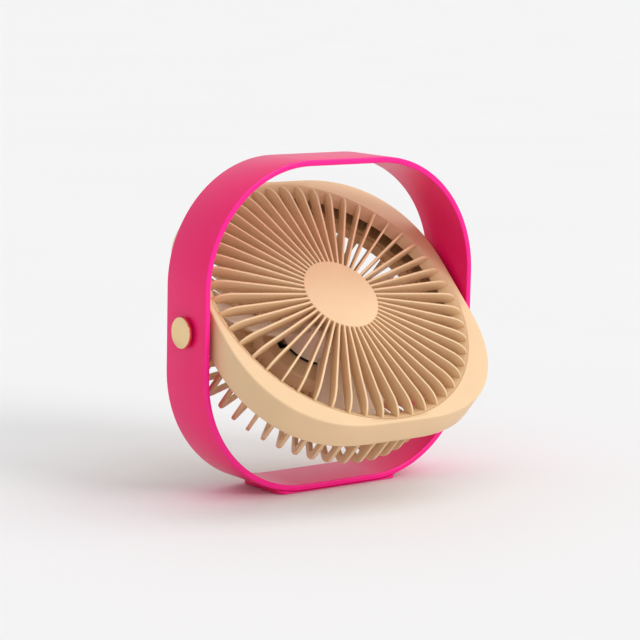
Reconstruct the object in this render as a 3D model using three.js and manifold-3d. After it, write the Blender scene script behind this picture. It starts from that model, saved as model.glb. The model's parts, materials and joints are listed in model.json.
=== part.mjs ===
// A small electric fan: a round-cornered hoop stands on a foot and doubles as a carrying handle,
// and a ribbed fan head tilts all the way round inside it on two side pivots.
//
// Units are millimetres. +Z is up, the fan faces -Y, and the origin is on the floor under the
// middle of the foot. Inside the head, local +Z is the way the air blows, local +Y is up the face
// and the local origin is on the tilt axis.

import * as THREE from "three";
import { mergeVertices } from "three/addons/utils/BufferGeometryUtils.js";
import Module from "manifold-3d";

const wasm = await Module();
wasm.setup();

// ---------------------------------------------------------------- driving dimensions

const GAP = 0.3; // between two pieces that touch
const RUNNING_GAP = 0.2; // all round a shaft that turns in a bore

// Hoop
const HOOP_WIDTH = 200;
const HOOP_HEIGHT = 197.6;
const HOOP_DEPTH = 40;
const HOOP_WALL = 3.6;
const HOOP_CORNER = 73.6; // outer corner radius
const HOOP_EDGE = 0.8; // bevel along the four long edges

// Foot
const FOOT_LENGTH = 89;
const FOOT_CORNER = 5;
const FOOT_UNDER_HOOP = 1; // how far the foot lifts the hoop off the floor
const PAD_PROUD = 0.4; // how far the pad stands below the foot
const PAD_LENGTH = 56;
const PAD_WIDTH = 24;
const PAD_THICKNESS = 1;
const PAD_CORNER = 4;
const FOOT_BOSS_RISE = 1.9; // the foot's locating boss stands this far into the hoop's wall
const FOOT_BOSS_LENGTH = 62;
const FOOT_BOSS_WIDTH = 30;

// Head
const HEAD_TILT = 46; // degrees that the air is aimed above level at rest
const HEAD_SIDE_GAP = 2.9; // head to hoop, at each side
const HEAD_TOP_GAP = 3.3; // head to hoop, above and below
const HEAD_CORNER_EXTRA = 5.5; // head corner size beyond the hoop's inner corner
const HEAD_FULLNESS = 2.3; // superellipse exponent of the head's corners
const RIM_FRONT = 21; // rim plane ahead of the tilt axis
const WALL_DEPTH = 20; // depth of the head's side wall
const WALL_LEAN = 1; // the back of the side wall sits this much lower than its front
const SHELL = 2; // wall thickness of the mouldings
const RIM_EDGE = 1.2; // rounding of the rim
const BACK_EDGE = 1.5; // rounding of the side wall's back edge
const LIP_HEIGHT = 5; // a lip on the rear housing reaches this far forward inside the side wall
const LIP_WALL = 1.2;
const BEZEL_WIDTH = 4.7; // rim and funnel at the middle of the top and bottom
const LIP_DROP = 1; // the rim's plate slopes back this much towards its opening
const THROAT_DEPTH = 6.2; // from the rim plane to the back of the funnel
const FUNNEL_WIDTH = 5; // how far the funnel narrows

// Grilles
const RIB_COUNT = 50;
const RIB_PHASE = 2; // degrees from the head's side to the first rib
const GRILLE_PROUD = 3.8; // front ribs stand this far ahead of the rim
const GRILLE_DEPTH = 8.5;
const GRILLE_RIB = 1.4; // rib thickness
const DISC_RADIUS = 25;
const CAGE_BACK = 34; // back of the rear cage behind the tilt axis
const CAGE_RIB = 2.4;
const CAGE_RIB_DEPTH = 5;
const CAGE_INSET = 0.8; // cage radius inside the front opening
const CAGE_BEND = 8; // radius of the ribs' outer bend
const DUCT_AHEAD = 4; // duct ring ahead of and behind the back rim
const DUCT_BEHIND = 1;
const CAGE_RING_BEHIND = 5; // back of the cage's front ring behind the back rim
const SPIGOT_WALL = 1.2;

// Pod behind the motor
const POD_RADIUS = 34;
const POD_FRONT = 19; // pod face behind the tilt axis
const CAP_THICKNESS = 2;
const CAP_PROUD = 2.5; // the cap stands this far behind the cage

// Impeller and motor
const HUB_RADIUS = 21;
const HUB_FRONT = 8; // hub face ahead of the tilt axis
const HUB_TO_POD = 2.2;
const HUB_WALL = 1.6;
const BLADE_COUNT = 4;
const BLADE_TIP_GAP = 1.6; // blade tip to cage
const BLADE_THICKNESS = 1.7;
const BLADE_CAMBER = 0.16;
const SHAFT_RADIUS = 1.5;
const YOKE_WALL = 1.5;
const MOTOR_FOOT_INSET = 2.6; // motor's foot plate inside the hub's radius
const MOTOR_FOOT = 1.6;
const MAGNET_THICKNESS = 1.6;
const AIR_GAP = 0.7; // magnets to stator
const POLE_COUNT = 6;
const BEARING_RADIUS = 4;
const BEARING_LENGTH = 3;
const BEARING_TUBE_WALL = 1.3;

// Pivots
const LUG_RADIUS = 7.5;
const KNOB_RADIUS = 9.25;
const KNOB_PROUD = 4; // knob face beyond the hoop
const KNOB_THICKNESS = 2.4;
const PIVOT_RADIUS = 4;
const STUD_RADIUS = 3;
const STUD_LENGTH = 5.5;
const BUSH_WALL = 1.7;
const BUSH_FLANGE = 0.9;

// Electrics
const BATTERY_SIZE = [34, 22, 10];
const BOARD_SIZE = [36, 24, 1.2];
const BOARD_TO_CAP = 5.9;
const BUTTON_RADIUS = 5.5;
const BUTTON_PROUD = 0.7;
const BUTTON_TRAVEL = 0.8;
const SOCKET_SIZE = [9, 3.3, 7]; // across, high, deep
const SOCKET_WALL = 0.35;
const LENS_RADIUS = 1.2;
const LEAD_RADIUS = 0.7;

// Screws
const SCREW_RADIUS = 1.2;
const SCREW_HEAD_RADIUS = 2.6;
const SCREW_HEAD = 1;
const SCREW_SEAT = 1.1; // depth of the counterbore that a screw's head sits in
const SCREW_BOSS_RADIUS = 3.2;

// How finely round things are cut
const LARGE_SIDES = 36;
const ROUND_SIDES = 24;
const SMALL_SIDES = 14;
const SCREW_SIDES = 8;
const HEAD_CORNER_STEPS = 8;
const HEAD_SIDE_STEPS = 5;
const HOOP_CORNER_STEPS = 10;

// ---------------------------------------------------------------- worked-out dimensions

const hoopCentre = FOOT_UNDER_HOOP + HOOP_HEIGHT / 2;
const hoopFace = HOOP_WIDTH / 2;
const hoopInside = hoopFace - HOOP_WALL;

const headHalfWidth = hoopInside - HEAD_SIDE_GAP;
const headHalfHeight = HOOP_HEIGHT / 2 - HOOP_WALL - HEAD_TOP_GAP;
const headCorner = Math.min(HOOP_CORNER - HOOP_WALL + HEAD_CORNER_EXTRA, headHalfWidth, headHalfHeight);
const backRim = RIM_FRONT - WALL_DEPTH;
const housingInset = SHELL + GAP; // the rear housing fits inside the side wall

const openingRadius = Math.min(headHalfWidth, headHalfHeight) - BEZEL_WIDTH;
const throatRadius = openingRadius - FUNNEL_WIDTH; // narrowest part, at the back of the funnel
const grilleEdge = openingRadius + 1.3; // outer edge of the grille where it meets the rim
const grilleFront = RIM_FRONT + GRILLE_PROUD;
const grilleBack = grilleFront - GRILLE_DEPTH;

const cageRadius = openingRadius - CAGE_INSET;
const cageInside = cageRadius - CAGE_RIB_DEPTH;
const ductInside = cageRadius - SHELL;
const ductFront = backRim + DUCT_AHEAD;
const ductBack = backRim - DUCT_BEHIND;
const cageRingBack = backRim - CAGE_RING_BEHIND;

const podFace = -POD_FRONT;
const podFloor = podFace - SHELL; // inner face of the pod's front wall
const podInside = POD_RADIUS - 1.8;
const capBack = -(CAGE_BACK + CAP_PROUD);
const capInside = capBack + CAP_THICKNESS;
const podBack = capInside + GAP;

const hubBack = podFace + HUB_TO_POD;
const hubCavity = HUB_FRONT - 1.8;
const hubInside = HUB_RADIUS - HUB_WALL;
const yokeOutside = hubInside - GAP;
const yokeInside = yokeOutside - YOKE_WALL;
const magnetOutside = yokeInside - GAP;
const magnetInside = magnetOutside - MAGNET_THICKNESS;
const statorRadius = magnetInside - AIR_GAP;
const statorBack = hubBack + 3.8;
const statorFront = statorBack + 7;
const tubeInside = BEARING_RADIUS + GAP;
const tubeOutside = tubeInside + BEARING_TUBE_WALL;
const tubeFront = statorFront + 2;
const bladeTip = cageInside - BLADE_TIP_GAP;

const lugFace = headHalfWidth + 0.2;
const boardBack = capInside + BOARD_TO_CAP;
const boardFront = boardBack + BOARD_SIZE[2];

// Centres on the head's face of what the pod holds.
const batteryPlace = [0, 15];
const boardPlace = [0, -13];
const buttonPlace = [0, -7];
const socketPlace = [0, -23];
const lensPlace = [10.5, -7];
const leadHole = [-22.3, -2.2];
const leadHoleSize = 6;

const capScrewRing = POD_RADIUS - 5.5;
const capScrewAngles = [0, 180, 270];
const motorScrewRing = HUB_RADIUS - 5.7;
const motorScrewAngles = [90, 210, 330];
const cornerScrewPlace = cornerPlace(0.91);

// ---------------------------------------------------------------- finishes

const PINK_PLASTIC = { color: 0xe8286e, roughness: 0.32, metalness: 0 };
const BEIGE_PLASTIC = { color: 0xeccfa8, roughness: 0.42, metalness: 0 };
const BRASS = { color: 0xd9b27c, roughness: 0.25, metalness: 1 };
const STEEL = { color: 0xb9bcc0, roughness: 0.35, metalness: 1 };
const NYLON = { color: 0xe9e4da, roughness: 0.5, metalness: 0 };
const RUBBER = { color: 0x4a4646, roughness: 0.85, metalness: 0 };
const COPPER = { color: 0xb8683a, roughness: 0.35, metalness: 1 };
const CORE_STEEL = { color: 0x6d7076, roughness: 0.55, metalness: 1 };
const FERRITE = { color: 0x3a3a3d, roughness: 0.7, metalness: 0 };
const BLACK_WIRE = { color: 0x151314, roughness: 0.55, metalness: 0 };
const BOARD_GREEN = { color: 0x23603f, roughness: 0.5, metalness: 0 };
const BATTERY_WRAP = { color: 0x5f7fae, roughness: 0.4, metalness: 0 };
const CLEAR_LENS = { color: 0xf3efe6, roughness: 0.15, metalness: 0 };

// ---------------------------------------------------------------- shape helpers

/** Returns the angle in radians. */
function radians(degrees) {
  return THREE.MathUtils.degToRad(degrees);
}

/** A closed three.js geometry as a solid that can be joined and cut. */
function solid(geometry) {
  const bare = geometry.clone();
  bare.deleteAttribute("normal");
  bare.deleteAttribute("uv");
  const merged = mergeVertices(bare, 1e-4);
  const corners = merged.index.array;
  const kept = [];
  for (let i = 0; i < corners.length; i += 3) {
    const [a, b, c] = corners.slice(i, i + 3);
    if (a !== b && b !== c && c !== a) kept.push(a, b, c);
  }
  const vertProperties = merged.attributes.position.array;
  return new wasm.Manifold(new wasm.Mesh({ numProp: 3, vertProperties, triVerts: new Uint32Array(kept) }));
}

/** A solid as a three.js geometry. */
function geometryOf(shape) {
  const mesh = shape.getMesh();
  const geometry = new THREE.BufferGeometry();
  geometry.setAttribute("position", new THREE.BufferAttribute(mesh.vertProperties, 3));
  geometry.setIndex(new THREE.BufferAttribute(mesh.triVerts, 1));
  geometry.computeVertexNormals();
  return geometry;
}

/** One solid made of several that meet. */
function joined(shapes) {
  return shapes.reduce((whole, shape) => whole.add(shape));
}

/** A solid with several others cut out of it. */
function cut(shape, tools) {
  return tools.reduce((rest, tool) => rest.subtract(tool), shape);
}

/** Turns a profile of [radius, height] points round +Z. It ends on the axis or closes on itself. */
function turned(profile, sides = ROUND_SIDES) {
  const points = profile.map(([radius, height]) => new THREE.Vector2(radius, height));
  const touchesAxis = points[0].x === 0 && points.at(-1).x === 0;
  if (!touchesAxis) points.push(points[0].clone());
  if (THREE.ShapeUtils.area(points) < 0) points.reverse();
  return new THREE.LatheGeometry(points, sides).rotateX(Math.PI / 2);
}

/** A plain round bar along +Z. */
function rod(radius, from, to, sides = ROUND_SIDES) {
  return turned([[0, from], [radius, from], [radius, to], [0, to]], sides);
}

/** A plain ring or tube along +Z. */
function tube(inside, outside, from, to, sides = ROUND_SIDES) {
  return turned([[inside, from], [outside, from], [outside, to], [inside, to]], sides);
}

/** A box between two opposite corners. */
function box(low, high) {
  const size = high.map((value, axis) => value - low[axis]);
  const centre = high.map((value, axis) => (value + low[axis]) / 2);
  return new THREE.BoxGeometry(...size).translate(...centre);
}

/** A flat outline raised along +Z. */
function prism(outline, from, to) {
  const shape = outline instanceof THREE.Shape ? outline : new THREE.Shape(outline);
  return new THREE.ExtrudeGeometry(shape, { depth: to - from, bevelEnabled: false }).translate(0, 0, from);
}

/** A rectangle with round corners, as a flat outline. */
function roundedRectangle(width, height, corner, cornerSteps = 4) {
  return roundedOutline(width / 2, height / 2, corner, 2, cornerSteps, 1);
}

/** A rectangle with superelliptic corners (fullness 2 is round), anticlockwise from its right side. */
function roundedOutline(halfWidth, halfHeight, corner, fullness, cornerSteps, sideSteps) {
  const signs = [[1, 1], [-1, 1], [-1, -1], [1, -1]];
  const points = [];
  for (const [quarter, [sideX, sideY]] of signs.entries()) {
    for (let step = 0; step <= cornerSteps; step++) {
      const share = quarter % 2 === 0 ? step / cornerSteps : 1 - step / cornerSteps;
      const along = Math.cos((share * Math.PI) / 2) ** (2 / fullness);
      const up = Math.sin((share * Math.PI) / 2) ** (2 / fullness);
      const x = halfWidth - corner + corner * along;
      const y = halfHeight - corner + corner * up;
      points.push(new THREE.Vector2(sideX * x, sideY * y));
    }
  }
  const perCorner = cornerSteps + 1;
  const outline = [];
  points.forEach((point, index) => {
    outline.push(point);
    const next = points[(index + 1) % points.length];
    if (index % perCorner !== cornerSteps || point.distanceTo(next) < 1e-3) return;
    for (let step = 1; step < sideSteps; step++) outline.push(point.clone().lerp(next, step / sideSteps));
  });
  return outline;
}

/** A geometry from points and faces, turned so that its faces point out. */
function closedSurface(points, faces) {
  let volume = 0;
  for (let i = 0; i < faces.length; i += 3) {
    const [a, b, c] = [points[faces[i]], points[faces[i + 1]], points[faces[i + 2]]];
    volume += a.dot(b.clone().cross(c));
  }
  const ordered = volume < 0 ? faces.toReversed() : faces;
  const geometry = new THREE.BufferGeometry().setFromPoints(points);
  geometry.setIndex(ordered);
  geometry.computeVertexNormals();
  return geometry;
}

/** A closed ring whose cross-section runs through a cycle of loops with the same number of points. */
function ringLoft(loops) {
  const perLoop = loops[0].length;
  const faces = [];
  for (let loop = 0; loop < loops.length; loop++) {
    const here = loop * perLoop;
    const there = ((loop + 1) % loops.length) * perLoop;
    for (let i = 0; i < perLoop; i++) {
      const next = (i + 1) % perLoop;
      faces.push(here + i, here + next, there + next);
      faces.push(here + i, there + next, there + i);
    }
  }
  return closedSurface(loops.flat(), faces);
}

/** A closed slab between two sheets of points that have the same rows and columns. */
function slab(upper, lower) {
  const rows = upper.length;
  const columns = upper[0].length;
  const under = rows * columns;
  const faces = [];
  const quad = (a, b, c, d) => faces.push(a, b, c, a, c, d);
  const at = (row, column) => row * columns + column;
  for (let row = 0; row < rows - 1; row++) {
    for (let column = 0; column < columns - 1; column++) {
      const [a, b] = [at(row, column), at(row, column + 1)];
      const [c, d] = [at(row + 1, column + 1), at(row + 1, column)];
      quad(a, b, c, d);
      quad(under + a, under + d, under + c, under + b);
    }
  }
  const edge = [];
  for (let column = 0; column < columns - 1; column++) edge.push(at(0, column));
  for (let row = 0; row < rows - 1; row++) edge.push(at(row, columns - 1));
  for (let column = columns - 1; column > 0; column--) edge.push(at(rows - 1, column));
  for (let row = rows - 1; row > 0; row--) edge.push(at(row, 0));
  edge.forEach((corner, index) => {
    const next = edge[(index + 1) % edge.length];
    quad(corner, under + corner, under + next, next);
  });
  return closedSurface([...upper.flat(), ...lower.flat()], faces);
}

/** A geometry made along +Z, laid along the tilt axis. side is +1 for the right and -1 for the left. */
function alongTiltAxis(geometry, side) {
  return geometry.rotateY((side * Math.PI) / 2);
}

/** A point at an angle on a circle round the head's axis. */
function onCircle(radius, degrees) {
  return [radius * Math.cos(radians(degrees)), radius * Math.sin(radians(degrees))];
}

/** The head's outline, brought in by an inset. */
function headOutline(inset) {
  return roundedOutline(
    headHalfWidth - inset, headHalfHeight - inset, headCorner - inset, HEAD_FULLNESS,
    HEAD_CORNER_STEPS, HEAD_SIDE_STEPS,
  );
}

/** A place on a diagonal of the head's face, as a share of the way out to the side wall. */
function cornerPlace(share) {
  const cornerPoint = headCorner * Math.SQRT1_2 ** (2 / HEAD_FULLNESS);
  const x = (headHalfWidth - headCorner + cornerPoint) * share;
  const y = (headHalfHeight - headCorner + cornerPoint) * share;
  return [x, y];
}

/** The head's outline at a height along the head's axis, lower down towards the back. */
function wallLoop(inset, height) {
  const drop = (WALL_LEAN * (RIM_FRONT - height)) / WALL_DEPTH;
  return headOutline(inset).map((point) => new THREE.Vector3(point.x, point.y - drop, height));
}

/** A circle round the head's axis whose points face those of the head's outline. */
function roundLoop(radius, height) {
  return headOutline(0).map((point) => {
    const onRing = point.clone().setLength(radius);
    return new THREE.Vector3(onRing.x, onRing.y, height);
  });
}

/** A screw with its head's outer face at the given height, pointing up +Z. */
function screw(headFace, length, headHeight = SCREW_HEAD) {
  const neck = headFace + headHeight;
  const tip = headFace + length;
  return turned([
    [0, headFace],
    [SCREW_HEAD_RADIUS, headFace + 0.2],
    [SCREW_HEAD_RADIUS, neck],
    [SCREW_RADIUS, neck],
    [SCREW_RADIUS, tip - SCREW_RADIUS],
    [0, tip],
  ], SCREW_SIDES);
}

/** A rib standing in a half plane through the head's axis, from a [radius, height] profile. */
function radialRib(profile, thickness, degrees) {
  const points = profile.map(([radius, height]) => new THREE.Vector2(radius, height));
  const plate = prism(points, -thickness / 2, thickness / 2);
  return plate.rotateX(Math.PI / 2).rotateZ(radians(degrees));
}

/** All the ribs of one grille. */
function ribs(profile, thickness) {
  const all = [];
  for (let rib = 0; rib < RIB_COUNT; rib++) {
    const degrees = RIB_PHASE + (360 * rib) / RIB_COUNT;
    all.push(solid(radialRib(profile, thickness, degrees)));
  }
  return all;
}

// ---------------------------------------------------------------- stand

/** A loop round the hoop, brought in by an inset, at a depth along Y. */
function hoopLoop(inset, depth) {
  const outline = roundedOutline(
    HOOP_WIDTH / 2 - inset, HOOP_HEIGHT / 2 - inset, HOOP_CORNER - inset, 2, HOOP_CORNER_STEPS, 1,
  );
  return outline.map((point) => new THREE.Vector3(point.x, depth, point.y + hoopCentre));
}

/** The space inside a line offset from the hoop's outer face, as a solid. */
function hoopFilled(growth) {
  const outline = roundedOutline(
    HOOP_WIDTH / 2 + growth, HOOP_HEIGHT / 2 + growth, HOOP_CORNER + growth, 2, HOOP_CORNER_STEPS, 1,
  );
  const depth = HOOP_DEPTH + 10;
  const plate = prism(outline, -depth / 2, depth / 2);
  return solid(plate.rotateX(Math.PI / 2).translate(0, 0, hoopCentre));
}

const hoopBottom = FOOT_UNDER_HOOP;
const footBossTop = hoopBottom + FOOT_BOSS_RISE;
const footScrewHead = PAD_PROUD + PAD_THICKNESS - 0.1;
const footScrewPlaces = [-FOOT_BOSS_LENGTH / 4, FOOT_BOSS_LENGTH / 4];
const footScrewTip = hoopBottom + HOOP_WALL - 0.6;

/** The hoop: one closed band with pivot holes in its sides and a pocket for the foot. */
function hoopFrame() {
  const halfDepth = HOOP_DEPTH / 2;
  const band = solid(ringLoft([
    hoopLoop(HOOP_EDGE, -halfDepth),
    hoopLoop(0, HOOP_EDGE - halfDepth),
    hoopLoop(0, halfDepth - HOOP_EDGE),
    hoopLoop(HOOP_EDGE, halfDepth),
    hoopLoop(HOOP_WALL - HOOP_EDGE, halfDepth),
    hoopLoop(HOOP_WALL, halfDepth - HOOP_EDGE),
    hoopLoop(HOOP_WALL, HOOP_EDGE - halfDepth),
    hoopLoop(HOOP_WALL - HOOP_EDGE, -halfDepth),
  ]));
  const holeRadius = PIVOT_RADIUS + RUNNING_GAP + BUSH_WALL + GAP;
  const pivotHoles = [-1, 1].map((side) => {
    const drill = alongTiltAxis(rod(holeRadius, hoopInside - 1, hoopFace + 1), side);
    return solid(drill.translate(0, 0, hoopCentre));
  });
  const pocket = solid(box(
    [-FOOT_BOSS_LENGTH / 2 - GAP, -FOOT_BOSS_WIDTH / 2 - GAP, -1],
    [FOOT_BOSS_LENGTH / 2 + GAP, FOOT_BOSS_WIDTH / 2 + GAP, footBossTop + GAP],
  ));
  const screwHoles = footScrewPlaces.map((x) =>
    solid(rod(SCREW_RADIUS + RUNNING_GAP, 0, footScrewTip + 0.1, SCREW_SIDES).translate(x, 0, 0)));
  return cut(band, [...pivotHoles, pocket, ...screwHoles]);
}

/** The foot plate: its ends rise to meet the hoop's curve, and a boss locks it into the hoop. */
function baseFoot() {
  const block = solid(prism(
    roundedRectangle(FOOT_LENGTH, HOOP_DEPTH, FOOT_CORNER), PAD_PROUD, hoopBottom + HOOP_WALL,
  ));
  const plate = block.subtract(hoopFilled(GAP));
  const boss = solid(box(
    [-FOOT_BOSS_LENGTH / 2, -FOOT_BOSS_WIDTH / 2, PAD_PROUD],
    [FOOT_BOSS_LENGTH / 2, FOOT_BOSS_WIDTH / 2, footBossTop],
  ));
  const recess = solid(prism(
    roundedRectangle(PAD_LENGTH + 2 * GAP, PAD_WIDTH + 2 * GAP, PAD_CORNER + GAP), 0, PAD_THICKNESS + GAP,
  ));
  const screwHoles = footScrewPlaces.flatMap((x) => [
    solid(rod(SCREW_RADIUS + RUNNING_GAP, 0, footBossTop + 1, SCREW_SIDES).translate(x, 0, 0)),
    solid(rod(SCREW_HEAD_RADIUS + GAP, 0, footScrewHead + SCREW_HEAD, SCREW_SIDES).translate(x, 0, 0)),
  ]);
  return cut(plate.add(boss), [recess, ...screwHoles]);
}

/** The soft pad that the fan stands on. */
function antiSlipPad() {
  return prism(roundedRectangle(PAD_LENGTH, PAD_WIDTH, PAD_CORNER), 0, PAD_THICKNESS);
}

/** A flanged bush that lines the hoop's pivot hole, its flange inside the hoop. */
function pivotBush(side) {
  const inside = PIVOT_RADIUS + RUNNING_GAP;
  const sleeve = inside + BUSH_WALL;
  const flangeFace = hoopInside - GAP - BUSH_FLANGE;
  const profile = [
    [inside, flangeFace],
    [LUG_RADIUS, flangeFace],
    [LUG_RADIUS, hoopInside - GAP],
    [sleeve, hoopInside - GAP],
    [sleeve, hoopFace - 0.1],
    [inside, hoopFace - 0.1],
  ];
  return alongTiltAxis(turned(profile), side);
}

// ---------------------------------------------------------------- head mouldings

/** The front ribs' outline: straight from the disc, then bending back on to the bezel's lip. */
function grilleRibProfile() {
  const straightEnd = openingRadius - 11.2;
  const bend = new THREE.QuadraticBezierCurve(
    new THREE.Vector2(straightEnd, grilleFront),
    new THREE.Vector2(openingRadius - 2, grilleFront - 0.4),
    new THREE.Vector2(openingRadius + 0.8, RIM_FRONT - LIP_DROP - 0.4),
  );
  const bendPoints = bend.getPoints(3).map((point) => [point.x, point.y]);
  return [
    [DISC_RADIUS - 1, grilleBack],
    [DISC_RADIUS - 1, grilleFront - 0.2],
    [DISC_RADIUS + 1, grilleFront],
    ...bendPoints,
    [throatRadius + 1, RIM_FRONT - THROAT_DEPTH + 0.6],
    [throatRadius - 0.6, grilleBack],
  ];
}

/** The front rim: the head's side wall and a plate with a round opening. */
function frontRim() {
  const ring = solid(ringLoft([
    wallLoop(BACK_EDGE, backRim),
    wallLoop(BACK_EDGE * 0.3, backRim + BACK_EDGE * 0.3),
    wallLoop(0, backRim + BACK_EDGE),
    wallLoop(0, RIM_FRONT - RIM_EDGE),
    wallLoop(RIM_EDGE * 0.3, RIM_FRONT - RIM_EDGE * 0.3),
    wallLoop(RIM_EDGE, RIM_FRONT),
    roundLoop(grilleEdge + GAP, RIM_FRONT - LIP_DROP),
    roundLoop(grilleEdge + GAP, RIM_FRONT - SHELL),
    wallLoop(SHELL, RIM_FRONT - SHELL),
    wallLoop(SHELL, backRim),
  ]));
  const bossEnd = backRim + SHELL + GAP;
  const bosses = cornerScrews((x, y) =>
    solid(rod(SCREW_BOSS_RADIUS, bossEnd, RIM_FRONT - SHELL / 2, SMALL_SIDES).translate(x, y, 0)));
  const holes = cornerScrews((x, y) =>
    solid(rod(SCREW_RADIUS + RUNNING_GAP, bossEnd - 1, backRim + 13, SCREW_SIDES).translate(x, y, 0)));
  const lugRoom = [-1, 1].map((side) =>
    solid(alongTiltAxis(rod(LUG_RADIUS + GAP, ductInside, lugFace + 2), side)));
  return cut(joined([ring, ...bosses]), [...holes, ...lugRoom]);
}

/** The front grille: ribs from a blank centre disc to a funnel-shaped ring set in the rim. */
function frontGrille() {
  const flangeFront = RIM_FRONT - SHELL - GAP;
  const flangeRadius = grilleEdge + 0.8;
  const funnel = solid(ringLoft([
    roundLoop(grilleEdge, RIM_FRONT - LIP_DROP),
    roundLoop(openingRadius - FUNNEL_WIDTH * 0.4, RIM_FRONT - LIP_DROP - 1.7),
    roundLoop(throatRadius, RIM_FRONT - THROAT_DEPTH),
    roundLoop(throatRadius + 1.6, RIM_FRONT - THROAT_DEPTH - 0.6),
    roundLoop(flangeRadius, flangeFront - 1.6),
    roundLoop(flangeRadius, flangeFront),
    roundLoop(grilleEdge, flangeFront),
  ]));
  const disc = solid(turned([
    [0, grilleFront],
    [DISC_RADIUS - 0.5, grilleFront],
    [DISC_RADIUS, grilleFront - 0.5],
    [DISC_RADIUS, grilleBack],
    [DISC_RADIUS - SHELL, grilleBack],
    [DISC_RADIUS - SHELL, grilleFront - SHELL],
    [0, grilleFront - SHELL],
  ], LARGE_SIDES));
  return joined([funnel, disc, ...ribs(grilleRibProfile(), GRILLE_RIB)]);
}

/** Calls a maker at each of the four corner screws' places and returns what it makes. */
function cornerScrews(maker) {
  const [x, y] = cornerScrewPlace;
  return [[x, y], [-x, y], [-x, -y], [x, -y]].map(([across, up]) => maker(across, up));
}

/** The cage ribs' outline: back along the cage's side, round a bend and in to the pod. */
function cageRibProfile() {
  const back = -CAGE_BACK;
  const outer = new THREE.Path();
  outer.absarc(cageRadius - CAGE_BEND, back + CAGE_BEND, CAGE_BEND, 0, -Math.PI / 2, true);
  const inner = new THREE.Path();
  const innerBend = CAGE_BEND - CAGE_RIB_DEPTH;
  inner.absarc(cageRadius - CAGE_BEND, back + CAGE_BEND, innerBend, -Math.PI / 2, 0, false);
  const asPair = (point) => [point.x, point.y];
  return [
    [cageRadius - 0.6, cageRingBack + 1],
    [cageRadius, cageRingBack - 1],
    ...outer.curves[0].getPoints(3).map(asPair),
    [POD_RADIUS - 1, back],
    [POD_RADIUS - 1, back + CAGE_RIB_DEPTH],
    ...inner.curves[0].getPoints(2).map(asPair),
    [cageInside, cageRingBack + 1],
  ];
}

/** The pod's cup: a front wall that carries the motor and a rim that the cap closes. */
function podCup() {
  return solid(turned([
    [0, podFace],
    [POD_RADIUS - 1, podFace],
    [POD_RADIUS, podFace - 1],
    [POD_RADIUS, podBack],
    [podInside, podBack],
    [podInside, podFloor],
    [0, podFloor],
  ], LARGE_SIDES));
}

/** The rear housing: a plate that closes the side wall, with a lip, a duct ring and pivot lugs. */
function rearHousing() {
  const plateFront = backRim + SHELL;
  const ring = solid(ringLoft([
    wallLoop(housingInset, backRim),
    roundLoop(cageRadius, backRim),
    roundLoop(cageRadius, ductBack),
    roundLoop(ductInside, ductBack),
    roundLoop(ductInside, ductFront),
    roundLoop(cageRadius, ductFront),
    roundLoop(cageRadius + 0.6, plateFront),
    wallLoop(housingInset + LIP_WALL, plateFront),
    wallLoop(housingInset + LIP_WALL, backRim + LIP_HEIGHT),
    wallLoop(housingInset, backRim + LIP_HEIGHT),
  ]));
  const lugs = [-1, 1].map((side) =>
    solid(alongTiltAxis(rod(LUG_RADIUS, cageRadius + GAP, lugFace), side)));
  const lugBores = [-1, 1].map((side) =>
    solid(alongTiltAxis(rod(STUD_RADIUS + RUNNING_GAP, lugFace - STUD_LENGTH - 0.5, lugFace + 1), side)));
  const wallHoles = cornerScrews((x, y) =>
    solid(rod(SCREW_RADIUS + GAP, backRim - 1, plateFront + 1, SCREW_SIDES).translate(x, y, 0)));
  const counterbores = cornerScrews((x, y) =>
    solid(rod(SCREW_HEAD_RADIUS + GAP, backRim - 1, backRim + SCREW_SEAT, SMALL_SIDES).translate(x, y, 0)));
  return cut(joined([ring, ...lugs]), [...lugBores, ...wallHoles, ...counterbores]);
}

/** The cage's front ring: it butts against the duct and a spigot on it goes inside. */
function cageRing() {
  const front = ductBack - GAP;
  const spigot = ductInside - GAP;
  return solid(ringLoft([
    roundLoop(cageRadius, front),
    roundLoop(cageRadius, cageRingBack),
    roundLoop(spigot - SPIGOT_WALL, cageRingBack),
    roundLoop(spigot - SPIGOT_WALL, ductFront - SHELL),
    roundLoop(spigot, ductFront - SHELL),
    roundLoop(spigot, front),
  ]));
}

/** The rear cage: ring, bent ribs and the pod that holds the motor and the electrics. */
function rearCage() {
  const capBosses = capScrewAngles.map((degrees) => {
    const [x, y] = onCircle(capScrewRing, degrees);
    return solid(rod(SCREW_BOSS_RADIUS - 0.6, podBack, podFloor + 0.5, SMALL_SIDES).translate(x, y, 0));
  });
  const boardPosts = [-1, 1].map((side) => {
    const x = (side * (BOARD_SIZE[0] - 6)) / 2;
    return solid(rod(2, boardFront + GAP, podFloor + 0.5, SMALL_SIDES).translate(x, boardPlace[1] - 4, 0));
  });
  const cageRibs = ribs(cageRibProfile(), CAGE_RIB);
  const whole = joined([cageRing(), podCup(), ...cageRibs, ...capBosses, ...boardPosts]);
  const capHoles = capScrewAngles.map((degrees) => {
    const [x, y] = onCircle(capScrewRing, degrees);
    return solid(rod(SCREW_RADIUS + RUNNING_GAP, podBack - 1, podFloor - 1, SCREW_SIDES).translate(x, y, 0));
  });
  const motorHoles = motorScrewAngles.map((degrees) => {
    const [x, y] = onCircle(motorScrewRing, degrees);
    return solid(rod(SCREW_RADIUS + RUNNING_GAP, podFloor - 1, podFace + 1, SCREW_SIDES).translate(x, y, 0));
  });
  const half = leadHoleSize / 2;
  const [holeX, holeY] = leadHole;
  const leadHoleLow = [holeX - half, holeY - half, podFloor - 1];
  const leadHoleHigh = [holeX + half, holeY + half, podFace + 1];
  const wireHole = solid(box(leadHoleLow, leadHoleHigh));
  return cut(whole, [...capHoles, ...motorHoles, wireHole]);
}

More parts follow.
